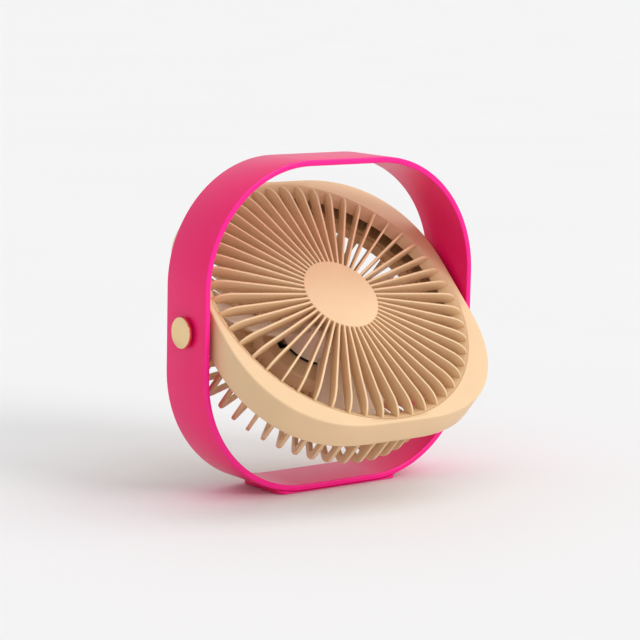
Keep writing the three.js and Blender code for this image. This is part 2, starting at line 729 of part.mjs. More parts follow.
/** The cap that closes the pod, with holes for the button, the light, the socket and three screws. */
function rearCap() {
  const plate = solid(turned([
    [0, capInside],
    [POD_RADIUS, capInside],
    [POD_RADIUS, capBack + 1],
    [POD_RADIUS - 1, capBack],
    [0, capBack],
  ], LARGE_SIDES));
  const through = (radius, [x, y]) =>
    solid(rod(radius, capBack - 1, capInside + 1, SMALL_SIDES).translate(x, y, 0));
  const [socketWidth, socketHeight] = SOCKET_SIZE;
  const slot = roundedRectangle(socketWidth + 2 * GAP, socketHeight + 2 * GAP, socketHeight / 2 + GAP);
  const socketHole = solid(prism(slot, capBack - 1, capInside + 1).translate(...socketPlace, 0));
  const screwHoles = capScrewAngles.flatMap((degrees) => {
    const [x, y] = onCircle(capScrewRing, degrees);
    return [
      through(SCREW_RADIUS + GAP, [x, y]),
      solid(rod(SCREW_HEAD_RADIUS + GAP, capBack - 1, capBack + SCREW_SEAT, SMALL_SIDES).translate(x, y, 0)),
    ];
  });
  const buttonHole = through(BUTTON_RADIUS + GAP, buttonPlace);
  const lensHole = through(LENS_RADIUS + GAP, lensPlace);
  return cut(plate, [buttonHole, lensHole, socketHole, ...screwHoles]);
}

// ---------------------------------------------------------------- electrics

/** The flat rechargeable cell. */
function batteryCell() {
  const [width, height, depth] = BATTERY_SIZE;
  const top = podFloor - GAP;
  return prism(roundedRectangle(width, height, 2), top - depth, top).translate(...batteryPlace, 0);
}

/** The control board. */
function controlBoard() {
  const [width, height] = BOARD_SIZE;
  return prism(roundedRectangle(width, height, 1.5), boardBack, boardFront).translate(...boardPlace, 0);
}

const switchFace = capInside + 2.2; // end of the switch's plunger
const buttonFlangeBack = capInside + GAP;

/** The switch that the button presses, plunger backwards. */
function pushSwitch() {
  const body = solid(box([-3, -3, switchFace + 0.9], [3, 3, boardBack - GAP]));
  const plunger = solid(rod(1.6, switchFace, boardBack - GAP - 0.5, SMALL_SIDES));
  return geometryOf(body.add(plunger)).translate(...buttonPlace, 0);
}

/** The power button: a round cap kept in by a flange behind the cover. */
function powerButton() {
  const face = capBack - BUTTON_PROUD;
  const flangeFront = switchFace - BUTTON_TRAVEL - GAP;
  return turned([
    [0, face],
    [BUTTON_RADIUS - 0.7, face],
    [BUTTON_RADIUS, face + 0.7],
    [BUTTON_RADIUS, buttonFlangeBack],
    [BUTTON_RADIUS + 1.2, buttonFlangeBack],
    [BUTTON_RADIUS + 1.2, flangeFront],
    [0, flangeFront],
  ]);
}

/** The charging socket: an open-ended metal shell round a contact tongue. */
function chargeSocket() {
  const [width, height, depth] = SOCKET_SIZE;
  const front = boardBack - GAP;
  const mouth = front - depth;
  const floor = front - 1;
  const shell = solid(prism(roundedRectangle(width, height, height / 2), mouth, front));
  const hollowOutline = roundedRectangle(
    width - 2 * SOCKET_WALL, height - 2 * SOCKET_WALL, height / 2 - SOCKET_WALL,
  );
  const hollow = solid(prism(hollowOutline, mouth - 1, floor));
  const tongue = solid(box([-width / 2 + 1.4, -0.35, mouth + 1], [width / 2 - 1.4, 0.35, front - 0.5]));
  return geometryOf(shell.subtract(hollow).add(tongue)).translate(...socketPlace, 0);
}

/** The light guide of the charging light. */
function indicatorLens() {
  return rod(LENS_RADIUS, capBack - 0.1, boardBack - GAP, SMALL_SIDES).translate(...lensPlace, 0);
}

/** The black lead: round the motor's foot, through the pod's wall and down beside the board. */
function motorLead() {
  const bend = HUB_RADIUS - 0.6;
  const level = (podFace + hubBack) / 2 - 0.1;
  const points = [];
  for (let degrees = 300; degrees >= 204; degrees -= 12) points.push([...onCircle(bend, degrees), level]);
  const [holeX, holeY] = leadHole;
  points.push([holeX + 0.9, holeY - 1.4, level - 0.3]);
  points.push([holeX + 0.6, holeY + 0.4, podFace - 1.2]);
  points.push([holeX + 1, holeY - 0.2, podFloor - 1]);
  points.push([-BOARD_SIZE[0] / 2 - 1.2, boardPlace[1] + 6, boardBack]);
  const path = new THREE.CatmullRomCurve3(points.map((point) => new THREE.Vector3(...point)));
  const section = new THREE.Shape().absarc(0, 0, LEAD_RADIUS, 0, 2 * Math.PI);
  return new THREE.ExtrudeGeometry(section, { steps: 30, curveSegments: 3, extrudePath: path });
}

// ---------------------------------------------------------------- motor and impeller

/** The motor's foot plate with its bearing tube. */
function motorBase() {
  const back = podFace + GAP;
  const plate = back + MOTOR_FOOT;
  const radius = HUB_RADIUS - MOTOR_FOOT_INSET;
  const base = solid(turned([
    [tubeInside, back],
    [radius, back],
    [radius, plate],
    [tubeOutside, plate],
    [tubeOutside, tubeFront],
    [tubeInside, tubeFront],
  ]));
  const holes = motorScrewAngles.map((degrees) => {
    const [x, y] = onCircle(motorScrewRing, degrees);
    return solid(rod(SCREW_RADIUS + RUNNING_GAP, back - 1, plate + 1, SCREW_SIDES).translate(x, y, 0));
  });
  return cut(base, holes);
}

/** The laminated stator core with one pole for each coil. */
function statorCore() {
  const neck = 1.7;
  const shoe = 0.36; // half the angle that a pole's shoe covers, in radians
  const yoke = tubeOutside + GAP + 2.2;
  const outline = [];
  for (let pole = 0; pole < POLE_COUNT; pole++) {
    const turn = (2 * Math.PI * pole) / POLE_COUNT;
    const add = (radius, angle) =>
      outline.push(new THREE.Vector2(radius * Math.cos(turn + angle), radius * Math.sin(turn + angle)));
    add(yoke, -Math.asin(neck / yoke));
    add(statorRadius - 1.8, -Math.asin(neck / (statorRadius - 1.8)));
    add(statorRadius - 1.2, -shoe);
    add(statorRadius, -shoe);
    add(statorRadius, -shoe / 3);
    add(statorRadius, shoe / 3);
    add(statorRadius, shoe);
    add(statorRadius - 1.2, shoe);
    add(statorRadius - 1.8, Math.asin(neck / (statorRadius - 1.8)));
    add(yoke, Math.asin(neck / yoke));
  }
  const shape = new THREE.Shape(outline);
  shape.holes.push(new THREE.Path().absarc(0, 0, tubeOutside + GAP, 0, 2 * Math.PI, true));
  return prism(shape, statorBack, statorFront);
}

/** One coil, wound round the neck of the pole at the given angle. */
function coil(degrees) {
  const from = tubeOutside + GAP + 2.2 + GAP + 0.4;
  const to = statorRadius - 2.4;
  const core = solid(box([from, -3.6, statorBack - 1.9], [to, 3.6, statorFront + 1.9]));
  const opening = solid(box([from - 1, -2, statorBack - GAP], [to + 1, 2, statorFront + GAP]));
  return geometryOf(core.subtract(opening)).rotateZ(radians(degrees));
}

/** A ball bearing, as one ring with its shields set in. */
function bearing(back) {
  const front = back + BEARING_LENGTH;
  const inside = SHAFT_RADIUS + RUNNING_GAP;
  return turned([
    [inside, back],
    [inside + 0.6, back],
    [BEARING_RADIUS - 0.6, back + 0.2],
    [BEARING_RADIUS, back],
    [BEARING_RADIUS, front],
    [BEARING_RADIUS - 0.6, front - 0.2],
    [inside + 0.6, front],
    [inside, front],
  ], SMALL_SIDES);
}

const shaftBack = podFace + 0.7;
const shaftFront = hubCavity - 2.2;
const rearBearing = podFace + 1.8;
const frontBearing = tubeFront - BEARING_LENGTH - 1;

/** The clip that keeps the shaft in its bearings. */
function shaftClip() {
  const back = rearBearing - 0.7;
  return tube(SHAFT_RADIUS + RUNNING_GAP, SHAFT_RADIUS + 1.7, back, rearBearing - GAP, SMALL_SIDES);
}

/** The steel cup that carries the magnets. */
function rotorYoke() {
  const back = hubBack + 1;
  const front = hubCavity - GAP;
  const bore = SHAFT_RADIUS + 2;
  return turned([
    [yokeOutside, back],
    [yokeOutside, front],
    [bore, front],
    [bore, front - YOKE_WALL],
    [yokeInside, front - YOKE_WALL],
    [yokeInside, back],
  ]);
}

/** The ring magnet inside the yoke. */
function magnetRing() {
  return tube(magnetInside, magnetOutside, statorBack - 1.5, statorFront + 1.5);
}

/** One point of a blade's middle surface. outward runs root to tip, across runs back to front edge. */
function bladePoint(outward, across) {
  const radius = THREE.MathUtils.lerp(HUB_RADIUS - 0.8, bladeTip, outward);
  const backAngle = THREE.MathUtils.lerp(164, 148, Math.sqrt(outward));
  const frontAngle = THREE.MathUtils.lerp(213, 177, outward);
  const back = THREE.MathUtils.lerp(hubBack + 2.6, podFace + 2.6, outward);
  const front = HUB_FRONT + THREE.MathUtils.lerp(-3, 0.5, outward);
  const rise = across + BLADE_CAMBER * Math.sin(Math.PI * across);
  const [x, y] = onCircle(radius, THREE.MathUtils.lerp(backAngle, frontAngle, across));
  return new THREE.Vector3(x, y, THREE.MathUtils.lerp(back, front, rise));
}

/** One blade, from inside the hub's wall to its tip. */
function blade() {
  const outwardSteps = 6;
  const acrossSteps = 6;
  const step = 0.01;
  const upper = [];
  const lower = [];
  for (let i = 0; i <= outwardSteps; i++) {
    const upperRow = [];
    const lowerRow = [];
    for (let j = 0; j <= acrossSteps; j++) {
      const outward = i / outwardSteps;
      const across = j / acrossSteps;
      const middle = bladePoint(outward, across);
      const alongRadius = bladePoint(outward + step, across).sub(middle);
      const alongChord = bladePoint(outward, across + step).sub(middle);
      const thinning = 0.35 + 0.65 * Math.sin(Math.PI * (0.1 + 0.8 * across));
      const half = alongRadius.cross(alongChord).setLength((BLADE_THICKNESS * thinning) / 2);
      upperRow.push(middle.clone().add(half));
      lowerRow.push(middle.clone().sub(half));
    }
    upper.push(upperRow);
    lower.push(lowerRow);
  }
  return slab(upper, lower);
}

/** The impeller: hub cup, blades and the boss that grips the shaft. */
function impeller() {
  const bossInside = SHAFT_RADIUS + RUNNING_GAP;
  const hub = solid(turned([
    [0, HUB_FRONT],
    [HUB_RADIUS - 3.5, HUB_FRONT],
    [HUB_RADIUS - 1, HUB_FRONT - 0.8],
    [HUB_RADIUS, HUB_FRONT - 2.6],
    [HUB_RADIUS, hubBack],
    [hubInside, hubBack],
    [hubInside, hubCavity],
    [SHAFT_RADIUS + 1.7, hubCavity],
    [SHAFT_RADIUS + 1.7, shaftFront - 4],
    [bossInside, shaftFront - 4],
    [bossInside, shaftFront + GAP],
    [0, shaftFront + GAP],
  ], LARGE_SIDES));
  const blades = [];
  for (let index = 0; index < BLADE_COUNT; index++) {
    blades.push(solid(blade().rotateZ((2 * Math.PI * index) / BLADE_COUNT)));
  }
  const room = solid(rod(hubInside, hubBack - 8, hubCavity - 0.1, LARGE_SIDES));
  return hub.add(cut(joined(blades), [room]));
}

// ---------------------------------------------------------------- pivots

/** The brass knob: a disc on a neck, a journal that turns in the bush and a stud for the head's lug. */
function pivotKnob(side) {
  const face = hoopFace + KNOB_PROUD;
  const shoulder = hoopFace + GAP;
  return alongTiltAxis(turned([
    [0, face],
    [KNOB_RADIUS - 0.5, face],
    [KNOB_RADIUS, face - 0.5],
    [KNOB_RADIUS, face - KNOB_THICKNESS],
    [PIVOT_RADIUS + 1.6, face - KNOB_THICKNESS],
    [PIVOT_RADIUS + 1.6, shoulder],
    [PIVOT_RADIUS, shoulder],
    [PIVOT_RADIUS, lugFace + GAP],
    [STUD_RADIUS, lugFace + GAP],
    [STUD_RADIUS, lugFace - STUD_LENGTH],
    [0, lugFace - STUD_LENGTH],
  ]), side);
}

/** The washer that gives the tilt its friction. */
function frictionWasher(side) {
  const from = lugFace + GAP;
  const to = hoopInside - 2 * GAP - BUSH_FLANGE;
  return alongTiltAxis(tube(PIVOT_RADIUS + RUNNING_GAP, LUG_RADIUS, from, to), side);
}

// ---------------------------------------------------------------- assembly

/** Adds a named piece to a group. */
function addPiece(group, name, shape, finish) {
  const geometry = shape.isBufferGeometry ? shape : geometryOf(shape);
  const mesh = new THREE.Mesh(geometry, new THREE.MeshStandardMaterial(finish));
  mesh.name = name;
  group.add(mesh);
  return mesh;
}

/** Adds the copies of a piece that stand at angles round the head's axis. */
function addRing(group, name, angles, radius, geometryMaker, finish) {
  angles.forEach((degrees, index) => {
    const [x, y] = onCircle(radius, degrees);
    addPiece(group, `${name}_${index + 1}`, geometryMaker(), finish).position.set(x, y, 0);
  });
}

/** The hoop, its foot and the bushes: all that stands still. */
function stand() {
  const group = new THREE.Group();
  addPiece(group, "hoop_frame", hoopFrame(), PINK_PLASTIC);
  addPiece(group, "base_foot", baseFoot(), PINK_PLASTIC);
  addPiece(group, "anti_slip_pad", antiSlipPad(), RUBBER);
  footScrewPlaces.forEach((x, index) => {
    const length = footScrewTip - footScrewHead;
    addPiece(group, `foot_screw_${index + 1}`, screw(footScrewHead, length, 0.8), STEEL).position.x = x;
  });
  for (const [word, side] of [["left", -1], ["right", 1]]) {
    addPiece(group, `pivot_bush_${word}`, pivotBush(side), NYLON).position.z = hoopCentre;
  }
  return group;
}

/** The mouldings, fasteners and electrics of the head. */
function addHeadShell(group) {
  addPiece(group, "front_rim", frontRim(), BEIGE_PLASTIC);
  addPiece(group, "front_grille", frontGrille(), BEIGE_PLASTIC);
  addPiece(group, "rear_housing", rearHousing(), BEIGE_PLASTIC);
  addPiece(group, "rear_cage", rearCage(), BEIGE_PLASTIC);
  addPiece(group, "rear_cap", rearCap(), BEIGE_PLASTIC);
  let number = 0;
  cornerScrews((x, y) => {
    number += 1;
    addPiece(group, `housing_screw_${number}`, screw(backRim, 10), STEEL).position.set(x, y, 0);
  });
  addRing(group, "cap_screw", capScrewAngles, capScrewRing, () => screw(capBack, 7), STEEL);
  for (const [word, side] of [["left", -1], ["right", 1]]) {
    addPiece(group, `friction_washer_${word}`, frictionWasher(side), RUBBER);
    addPiece(group, `pivot_knob_${word}`, pivotKnob(side), BRASS);
  }
}

/** What the pod holds. */
function addElectrics(group) {
  addPiece(group, "battery_cell", batteryCell(), BATTERY_WRAP);
  addPiece(group, "control_board", controlBoard(), BOARD_GREEN);
  addPiece(group, "push_switch", pushSwitch(), FERRITE);
  addPiece(group, "power_button", powerButton(), BEIGE_PLASTIC).position.set(...buttonPlace, 0);
  addPiece(group, "charge_socket", chargeSocket(), STEEL);
  addPiece(group, "indicator_lens", indicatorLens(), CLEAR_LENS);
  addPiece(group, "motor_lead", motorLead(), BLACK_WIRE);
}

/** The motor's fixed half. */
function addMotor(group) {
  addPiece(group, "motor_base", motorBase(), NYLON);
  addPiece(group, "stator_core", statorCore(), CORE_STEEL);
  for (let pole = 0; pole < POLE_COUNT; pole++) {
    addPiece(group, `coil_${pole + 1}`, coil((360 * pole) / POLE_COUNT), COPPER);
  }
  addPiece(group, "bearing_front", bearing(frontBearing), STEEL);
  addPiece(group, "bearing_rear", bearing(rearBearing), STEEL);
  const headBack = podFace + GAP + MOTOR_FOOT + SCREW_HEAD + 0.2;
  addRing(group, "motor_screw", motorScrewAngles, motorScrewRing,
    () => screw(-headBack, 4).rotateX(Math.PI), STEEL);
}

/** All that spins. */
function addRotor(group) {
  addPiece(group, "impeller", impeller(), BEIGE_PLASTIC);
  addPiece(group, "rotor_yoke", rotorYoke(), CORE_STEEL);
  addPiece(group, "magnet_ring", magnetRing(), FERRITE);
  addPiece(group, "motor_shaft", rod(SHAFT_RADIUS, shaftBack, shaftFront, SMALL_SIDES), STEEL);
  addPiece(group, "shaft_clip", shaftClip(), STEEL);
}

/** The fan head, tilted on its pivots. */
function head() {
  const group = new THREE.Group();
  group.position.z = hoopCentre;
  group.rotation.x = radians(90 - HEAD_TILT);
  addHeadShell(group);
  addElectrics(group);
  addMotor(group);
  addRotor(group);
  return group;
}

const fan = new THREE.Group();
fan.add(stand(), head());

export default fan;
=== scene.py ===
"""Looks of a small electric fan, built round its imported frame.

A cream fan head with a ribbed grille tilts inside a pink hoop, which is both stand and handle.
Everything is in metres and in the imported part's own frame: +X runs along the tilt axis, +Z is up
and the fan faces -Y. Pieces of the head are modelled flat, with their own +Z the way the air
blows, and then laid on to the tilted head.
"""

import json
import logging
import math
from contextlib import contextmanager
from dataclasses import dataclass, field
from enum import Enum
from typing import Any, Callable, Iterator, Sequence

import bmesh
import bpy
from mathutils import Matrix, Vector

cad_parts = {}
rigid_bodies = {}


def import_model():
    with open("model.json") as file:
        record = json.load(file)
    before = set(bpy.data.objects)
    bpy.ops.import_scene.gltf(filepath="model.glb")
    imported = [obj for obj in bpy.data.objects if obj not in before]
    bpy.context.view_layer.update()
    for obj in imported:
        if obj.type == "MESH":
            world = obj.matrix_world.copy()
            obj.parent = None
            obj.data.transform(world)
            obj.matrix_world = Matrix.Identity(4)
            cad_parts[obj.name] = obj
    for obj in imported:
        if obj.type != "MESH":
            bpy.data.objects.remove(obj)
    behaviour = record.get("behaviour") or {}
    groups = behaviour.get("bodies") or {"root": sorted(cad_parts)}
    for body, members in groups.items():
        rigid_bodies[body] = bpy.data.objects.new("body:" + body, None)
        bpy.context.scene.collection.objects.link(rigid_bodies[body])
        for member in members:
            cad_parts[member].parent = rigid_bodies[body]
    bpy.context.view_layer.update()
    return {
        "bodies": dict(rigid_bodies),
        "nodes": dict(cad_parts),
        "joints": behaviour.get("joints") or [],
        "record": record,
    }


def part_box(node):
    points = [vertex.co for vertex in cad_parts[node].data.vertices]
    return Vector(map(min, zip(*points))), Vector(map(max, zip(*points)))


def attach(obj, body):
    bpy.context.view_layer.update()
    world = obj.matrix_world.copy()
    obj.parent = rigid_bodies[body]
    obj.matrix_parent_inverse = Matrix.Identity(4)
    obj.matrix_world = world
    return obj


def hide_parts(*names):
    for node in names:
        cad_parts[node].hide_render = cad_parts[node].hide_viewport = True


Colour = tuple[float, float, float]
Profile = list[tuple[float, float]]
Ring = list[Vector]

LOG = logging.getLogger("fan")
MERGE = 1e-6  # points closer than this are one point
TURN = 2 * math.pi
CLEAR = 0.01  # how far a cutting tool runs past the piece that it cuts
MIX_LOW, MIX_HIGH, MIX_RESULT = 6, 7, 2  # a Mix node's sockets for colours


class Slot(Enum):
    """The record's material slots, passed along with new pieces but read by nothing."""

    PINK = "pink_plastic"
    CREAM = "beige_plastic"
    BRASS = "brass"
    STEEL = "steel"
    WIRE = "black_wire"
    RUBBER = "rubber"


# ------------------------------------------------------------------------------ shader maths


class Value:
    """A number that varies over a surface, with Python's own arithmetic."""

    def __init__(self, graph: "Graph", socket: bpy.types.NodeSocket) -> None:
        """Wraps one output socket.

        Args:
            graph: The material's graph that the socket belongs to.
            socket: The socket that gives the number.
        """
        self.graph = graph
        self.socket = socket

    def _maths(self, operation: str, *terms: Any) -> "Value":
        """Adds one Math node.

        Args:
            operation: The Math node's operation.
            *terms: Its inputs in order, as values or plain numbers.

        Returns:
            The node's result.
        """
        made = self.graph.node("ShaderNodeMath", {"operation": operation}, dict(enumerate(terms)))
        return Value(self.graph, made.outputs[0])

    def __add__(self, other: Any) -> "Value":
        """self + other."""
        return self._maths("ADD", self, other)

    __radd__ = __add__

    def __sub__(self, other: Any) -> "Value":
        """self - other."""
        return self._maths("SUBTRACT", self, other)

    def __rsub__(self, other: Any) -> "Value":
        """other - self."""
        return self._maths("SUBTRACT", other, self)

    def __mul__(self, other: Any) -> "Value":
        """self * other."""
        return self._maths("MULTIPLY", self, other)

    __rmul__ = __mul__

    def __abs__(self) -> "Value":
        """abs(self)."""
        return self._maths("ABSOLUTE", self)

    def sine(self) -> "Value":
        """The sine of this number."""
        return self._maths("SINE", self)

    def root(self) -> "Value":
        """The square root of this number."""
        return self._maths("SQRT", self)

    def ramp(self, low: float, high: float) -> "Value":
        """A smooth step.

        Args:
            low: Where the step starts, at 0.
            high: Where it ends, at 1.

        Returns:
            A number from 0 to 1.
        """
        inputs = {"Value": self, "From Min": low, "From Max": high}
        made = self.graph.node("ShaderNodeMapRange", {"interpolation_type": "SMOOTHSTEP"}, inputs)
        return Value(self.graph, made.outputs[0])


class Graph:
    """A material's nodes, with its main shader ready."""

    def __init__(self, name: str) -> None:
        """Makes an empty material with one main shader.

        Args:
            name: The material's name.
        """
        self.material = bpy.data.materials.new(name)
        self.material.use_nodes = True
        self.tree = self.material.node_tree
        self.tree.nodes.clear()
        self.shader = self.node("ShaderNodeBsdfPrincipled")
        self.node("ShaderNodeOutputMaterial", inputs={"Surface": self.shader.outputs[0]})
        self.place = self.node("ShaderNodeTexCoord").outputs["Object"]

    def node(
        self, kind: str, settings: dict[str, Any] | None = None, inputs: dict[Any, Any] | None = None
    ) -> bpy.types.Node:
        """Adds a node.

        Args:
            kind: Blender's name for the node's type.
            settings: Its own settings, set first. "stops" holds a colour ramp's stops.
            inputs: A value or a link for each input socket, by name or number.

        Returns:
            The new node.
        """
        made = self.tree.nodes.new(kind)
        for key, setting in (settings or {}).items():
            if key == "stops":
                self._set_stops(made.color_ramp, setting)
            else:
                setattr(made, key, setting)
        for key, entry in (inputs or {}).items():
            self._feed(made.inputs[key], entry)
        return made

    def _feed(self, target: bpy.types.NodeSocket, entry: Any) -> None:
        """Links or sets one input socket.

        Args:
            target: The input socket.
            entry: A varying value, another node's output socket, or a constant.
        """
        source = entry.socket if isinstance(entry, Value) else entry
        if isinstance(source, bpy.types.NodeSocket):
            self.tree.links.new(source, target)
        else:
            target.default_value = source

    @staticmethod
    def _set_stops(ramp: bpy.types.ColorRamp, stops: Sequence[tuple[float, Colour]]) -> None:
        """Sets a colour ramp's stops.

        Args:
            ramp: The ramp.
            stops: Each stop's place and colour, in order.
        """
        while len(ramp.elements) < len(stops):
            ramp.elements.new(1.0)
        for element, (place, colour) in zip(ramp.elements, stops):
            element.position = place
            element.color = (*colour, 1.0)

    def set(self, **sockets: Any) -> None:
        """Sets or links the main shader's sockets.

        Args:
            **sockets: A value or link for each socket, its name with _ for each space.
        """
        for key, entry in sockets.items():
            self._feed(self.shader.inputs[key.replace("_", " ")], entry)

    def axes(self, origin: Vector | None = None, tilt: float = 0.0) -> tuple[Value, Value, Value]:
        """The three coordinates of a point on the piece.

        Args:
            origin: Where they are counted from.
            tilt: How far they are turned about X, in radians.

        Returns:
            X, Y and Z, in metres.
        """
        inputs = {"Vector": self.place, "Location": origin or Vector(), "Rotation": (tilt, 0.0, 0.0)}
        moved = self.node("ShaderNodeMapping", {"vector_type": "TEXTURE"}, inputs)
        split = self.node("ShaderNodeSeparateXYZ", inputs={0: moved.outputs[0]})
        return tuple(Value(self, socket) for socket in split.outputs)

    def noise(self, size: float, detail: float = 2.0, stretch: Colour = (1.0, 1.0, 1.0)) -> Value:
        """A cloudy pattern from 0 to 1.

        Args:
            size: The size of its features, in metres.
            detail: How many finer layers it has.
            stretch: How many times smaller the features are along each axis.

        Returns:
            The pattern.
        """
        scaled = self.node("ShaderNodeMapping", inputs={"Vector": self.place, "Scale": stretch})
        inputs = {"Vector": scaled.outputs[0], "Scale": 1.0 / size, "Detail": detail}
        return Value(self, self.node("ShaderNodeTexNoise", inputs=inputs).outputs[0])

    def mixed(self, share: Value, low: Any, high: Any) -> bpy.types.NodeSocket:
        """A colour between two.

        Args:
            share: 0 gives the first colour and 1 the second.
            low: The first colour, or the socket that gives it.
            high: The second colour, or the socket that gives it.

        Returns:
            The mixed colour's socket.
        """
        ends = [(*end, 1.0) if isinstance(end, tuple) else end for end in (low, high)]
        inputs = {"Factor": share, MIX_LOW: ends[0], MIX_HIGH: ends[1]}
        return self.node("ShaderNodeMix", {"data_type": "RGBA"}, inputs).outputs[MIX_RESULT]

    def bumped(self, height: Value, depth: float, strength: float = 1.0) -> bpy.types.NodeSocket:
        """A surface normal with relief.

        Args:
            height: The relief, from 0 to 1.
            depth: The relief's height in metres.
            strength: How much of it shows.

        Returns:
            The normal's socket.
        """
        inputs = {"Height": height, "Distance": depth, "Strength": strength}
        return self.node("ShaderNodeBump", inputs=inputs).outputs[0]


# ---------------------------------------------------------------------------------- finishes


def shaded(colour: Colour, factor: float) -> Colour:
    """A colour made lighter or darker by a factor."""
    return tuple(min(1.0, part * factor) for part in colour)


@dataclass(frozen=True)
class MouldedPlastic:
    """Moulded plastic: a fine spark-eroded grain, faint flow clouds and uneven gloss."""

    name: str
    colour: Colour
    roughness: float = 0.4
    variation: float = 0.04
    grain: float = 0.0005
    relief: float = 0.00001

    def material(self) -> bpy.types.Material:
        """Builds the material."""
        graph = Graph(self.name)
        clouds = graph.noise(0.03, detail=3.0)
        grain = graph.noise(self.grain, detail=1.0)
        darker = shaded(self.colour, 1.0 - self.variation)
        lighter = shaded(self.colour, 1.0 + self.variation)
        smudges = graph.noise(0.012, detail=4.0)
        graph.set(
            Base_Color=graph.mixed(clouds.ramp(0.3, 0.7), darker, lighter),
            Roughness=self.roughness - 0.04 + 0.08 * smudges,
            Normal=graph.bumped(grain, self.relief),
        )
        return graph.material


@dataclass(frozen=True)
class PaintedGlowPlastic:
    """Dyed pink plastic whose cut edges are painted brighter and more magenta than its broad faces: a
    painted glow.
    """

    name: str
    colour: Colour
    painted_glow_colour: Colour
    half_depth: float
    roughness: float = 0.3

    def material(self) -> bpy.types.Material:
        """Builds the material."""
        graph = Graph(self.name)
        _, depth, _ = graph.axes()
        # painted glow: the front and back faces take the brighter, more magenta colour
        edge = abs(depth).ramp(self.half_depth - 0.0011, self.half_depth - 0.0002)
        clouds = graph.noise(0.05, detail=2.0)
        face = graph.mixed(clouds.ramp(0.3, 0.7), shaded(self.colour, 0.97), shaded(self.colour, 1.03))
        smudges = graph.noise(0.015, detail=4.0)
        grain = graph.noise(0.0007, detail=1.0)
        graph.set(
            Base_Color=graph.mixed(edge, face, self.painted_glow_colour),
            Roughness=self.roughness - 0.03 + 0.06 * smudges,
            Normal=graph.bumped(grain, 0.000006),
        )
        return graph.material


@dataclass(frozen=True)
class TurnedMetal:
    """Metal turned on a lathe: fine rings round an axis along X, and a soft lustre."""

    name: str
    colour: Colour
    axis_height: float
    roughness: float = 0.25
    ring_pitch: float = 0.00028

    def material(self) -> bpy.types.Material:
        """Builds the material."""
        graph = Graph(self.name)
        _, across, up = graph.axes(Vector((0.0, 0.0, self.axis_height)))
        radius = (across * across + up * up).root()
        rings = (radius * (TURN / self.ring_pitch)).sine() * 0.5 + 0.5
        tarnish = graph.noise(0.006, detail=3.0)
        graph.set(
            Base_Color=graph.mixed(tarnish, shaded(self.colour, 0.95), shaded(self.colour, 1.04)),
            Metallic=1.0,
            Roughness=self.roughness - 0.04 + 0.05 * rings + 0.06 * tarnish,
            Normal=graph.bumped(rings, 0.000004, 0.6),
        )
        return graph.material


@dataclass(frozen=True)
class PlainMetal:
    """Drawn or plated metal with fine scratches one way."""

    name: str
    colour: Colour
    roughness: float = 0.35
    stretch: Colour = (1.0, 1.0, 8.0)

    def material(self) -> bpy.types.Material:
        """Builds the material."""
        graph = Graph(self.name)
        scratches = graph.noise(0.0012, detail=3.0, stretch=self.stretch)
        stains = graph.noise(0.005, detail=3.0)
        graph.set(
            Base_Color=graph.mixed(stains, shaded(self.colour, 0.88), shaded(self.colour, 1.08)),
            Metallic=1.0,
            Roughness=self.roughness - 0.08 + 0.16 * scratches,
            Normal=graph.bumped(scratches, 0.000006, 0.5),
        )
        return graph.material


@dataclass(frozen=True)
class Layered:
    """Thin layers stacked or wound along the motor's axis, such as sheets or wire."""

    name: str
    colour: Colour
    gap_colour: Colour
    pitch: float
    origin: Vector
    tilt: float
    metallic: float = 1.0
    roughness: float = 0.4

    def material(self) -> bpy.types.Material:
        """Builds the material."""
        graph = Graph(self.name)
        _, _, along = graph.axes(self.origin, self.tilt)
        layers = (along * (TURN / self.pitch)).sine() * 0.5 + 0.5
        wander = graph.noise(0.002, detail=2.0)
        graph.set(
            Base_Color=graph.mixed(layers.ramp(0.05, 0.45), self.gap_colour, self.colour),
            Metallic=self.metallic,
            Roughness=self.roughness - 0.06 + 0.12 * wander,
            Normal=graph.bumped(layers, self.pitch * 0.3),
        )
        return graph.material


@dataclass(frozen=True)
class SoftRubber:
    """Dark rubber with a pebbled skin and a little dust."""

    name: str
    colour: Colour
    roughness: float = 0.8

    def material(self) -> bpy.types.Material:
        """Builds the material."""
        graph = Graph(self.name)
        pebbles = graph.node("ShaderNodeTexVoronoi", inputs={"Vector": graph.place, "Scale": 1400.0})
        skin = Value(graph, pebbles.outputs[0])
        dust = graph.noise(0.01, detail=4.0)
        graph.set(
            Base_Color=graph.mixed(dust.ramp(0.45, 0.75), self.colour, shaded(self.colour, 1.6)),
            Roughness=self.roughness + 0.1 * dust,
            Normal=graph.bumped(skin, 0.00003),
        )
        return graph.material


@dataclass(frozen=True)
class PrintedBoard:
    """A circuit board's solder mask with copper tracks showing through it."""

    name: str
    colour: Colour
    track: Colour

    def material(self) -> bpy.types.Material:
        """Builds the material."""
        graph = Graph(self.name)
        settings = {"feature": "DISTANCE_TO_EDGE", "distance": "EUCLIDEAN"}
        cells = graph.node("ShaderNodeTexVoronoi", settings, {"Vector": graph.place, "Scale": 300.0})
        tracks = 1.0 - Value(graph, cells.outputs[0]).ramp(0.05, 0.09)
        graph.set(
            Base_Color=graph.mixed(tracks, self.colour, self.track),
            Roughness=0.35 + 0.15 * tracks,
            Normal=graph.bumped(tracks, 0.00003),
        )
        return graph.material


@dataclass(frozen=True)
class MilkyLens:
    """Clear plastic with a slight haze."""

    name: str
    colour: Colour

    def material(self) -> bpy.types.Material:
        """Builds the material."""
        graph = Graph(self.name)
        haze = graph.noise(0.001, detail=3.0)
        graph.set(
            Base_Color=graph.mixed(haze, shaded(self.colour, 0.95), self.colour),
            Roughness=0.15 + 0.15 * haze,
            Transmission_Weight=0.6,
            IOR=1.49,
        )
        return graph.material


# -------------------------------------------------------------------------------- workbench


def take(*pieces: bpy.types.Object) -> None:
    """Selects only some pieces.

    Args:
        *pieces: The pieces. The last one is made active.
    """
    bpy.ops.object.select_all(action="DESELECT")
    for piece in pieces:
        piece.select_set(True)
        bpy.context.view_layer.objects.active = piece


